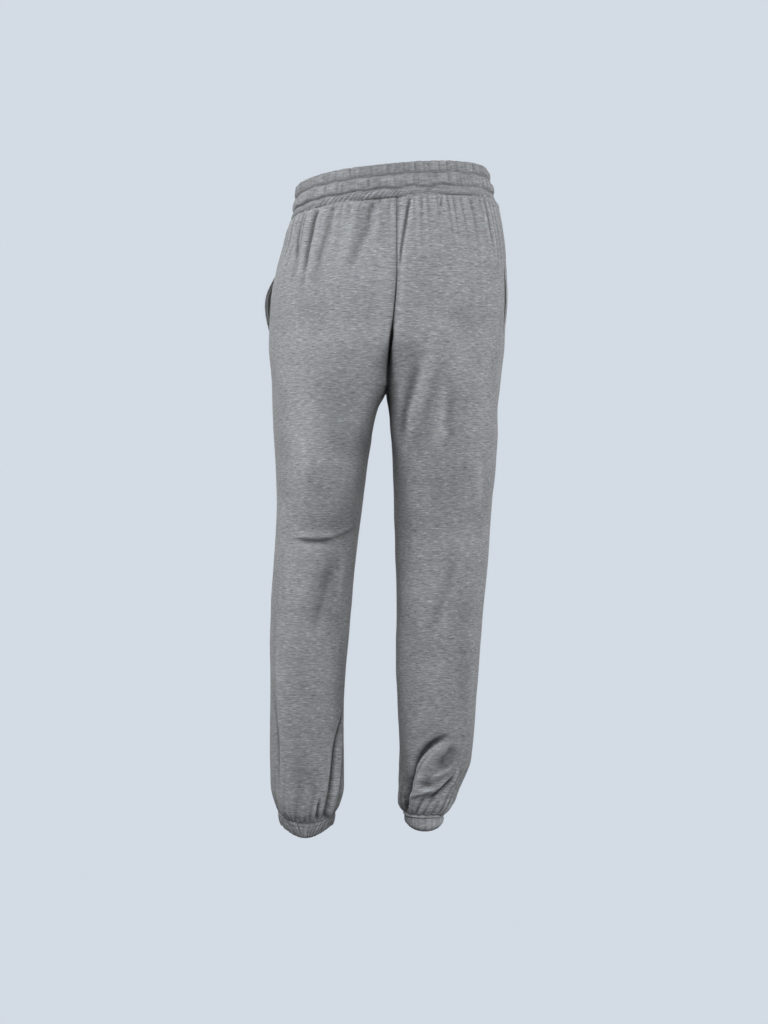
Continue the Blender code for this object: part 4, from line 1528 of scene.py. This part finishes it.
def glowing(name):
    """A plain material that looks the same in any light."""
    material = bpy.data.materials.new(name)
    material.use_nodes = True
    tree = material.node_tree
    tree.nodes.remove(tree.nodes["Principled BSDF"])
    glow = tree.nodes.new("ShaderNodeEmission")
    glow.inputs["Color"].default_value = BACKGROUND
    glow.inputs["Strength"].default_value = 1.0
    tree.links.new(glow.outputs["Emission"], tree.nodes["Material Output"].inputs["Surface"])
    return material


def add_stage():
    """A pale floor, and a pale backdrop all round."""
    for name in ("floor", "backdrop"):
        shape = bmesh.new()
        if name == "floor":
            bmesh.ops.create_grid(shape, x_segments=1, y_segments=1, size=STAGE_REACH)
            bmesh.ops.translate(shape, vec=(0.0, 0.0, FLOOR_HEIGHT), verts=shape.verts)
        else:
            bmesh.ops.create_uvsphere(shape, u_segments=32, v_segments=16, radius=STAGE_REACH)
        mesh = mesh_of(name, shape)
        mesh.materials.append(glowing(name))
        piece = add_object(name, mesh)
        piece.visible_diffuse = piece.visible_glossy = piece.visible_shadow = False


def add_world():
    """Even light from all round, a little stronger from below."""
    world = bpy.data.worlds.new("studio")
    bpy.context.scene.world = world
    world.use_nodes = True
    tree = world.node_tree
    nodes, links = tree.nodes, tree.links
    background = nodes["Background"]
    coordinates = nodes.new("ShaderNodeTexCoord")
    split = nodes.new("ShaderNodeSeparateXYZ")
    links.new(coordinates.outputs["Generated"], split.inputs["Vector"])
    strength = map_range(tree, split.outputs["Z"], -1.0, 1.0, 0.10, 0.07)
    background.inputs["Color"].default_value = (0.98, 0.99, 1.0, 1.0)
    links.new(strength, background.inputs["Strength"])


add_camera()
add_world()
add_stage()
# Each lamp's name, its place, where it aims, its size, its power and the spread of its light.
for light in (
    ("key_behind", (-0.15, 2.6, 0.2), (0.0, 0.0, -0.45), 1.4, 10.2, 95.0),
    ("thigh", (0.25, 2.5, -0.9), (0.10, 0.1, -0.36), 0.4, 0.035, 16.0),
    ("key_high", (0.2, 2.2, 1.5), (0.0, 0.0, -0.40), 1.4, 4.5, 95.0),
    ("left_high", (2.0, 0.5, 1.2), (0.0, 0.0, -0.40), 1.2, 8.0, 95.0),
    ("side_left", (2.4, 0.2, 0.2), (0.0, 0.0, -0.40), 1.4, 3.0, 95.0),
    ("side_right", (-2.4, 0.2, 0.2), (0.0, 0.0, -0.40), 1.4, 8.5, 95.0),
    ("front_left", (0.9, -2.4, 0.5), (0.0, 0.0, -0.45), 1.4, 8.0, 95.0),
    ("front_right", (-1.2, -2.2, 0.2), (0.0, 0.0, -0.45), 1.4, 4.0, 95.0),
):
    add_light(*light)
bpy.context.scene.view_settings.view_transform = "Standard"
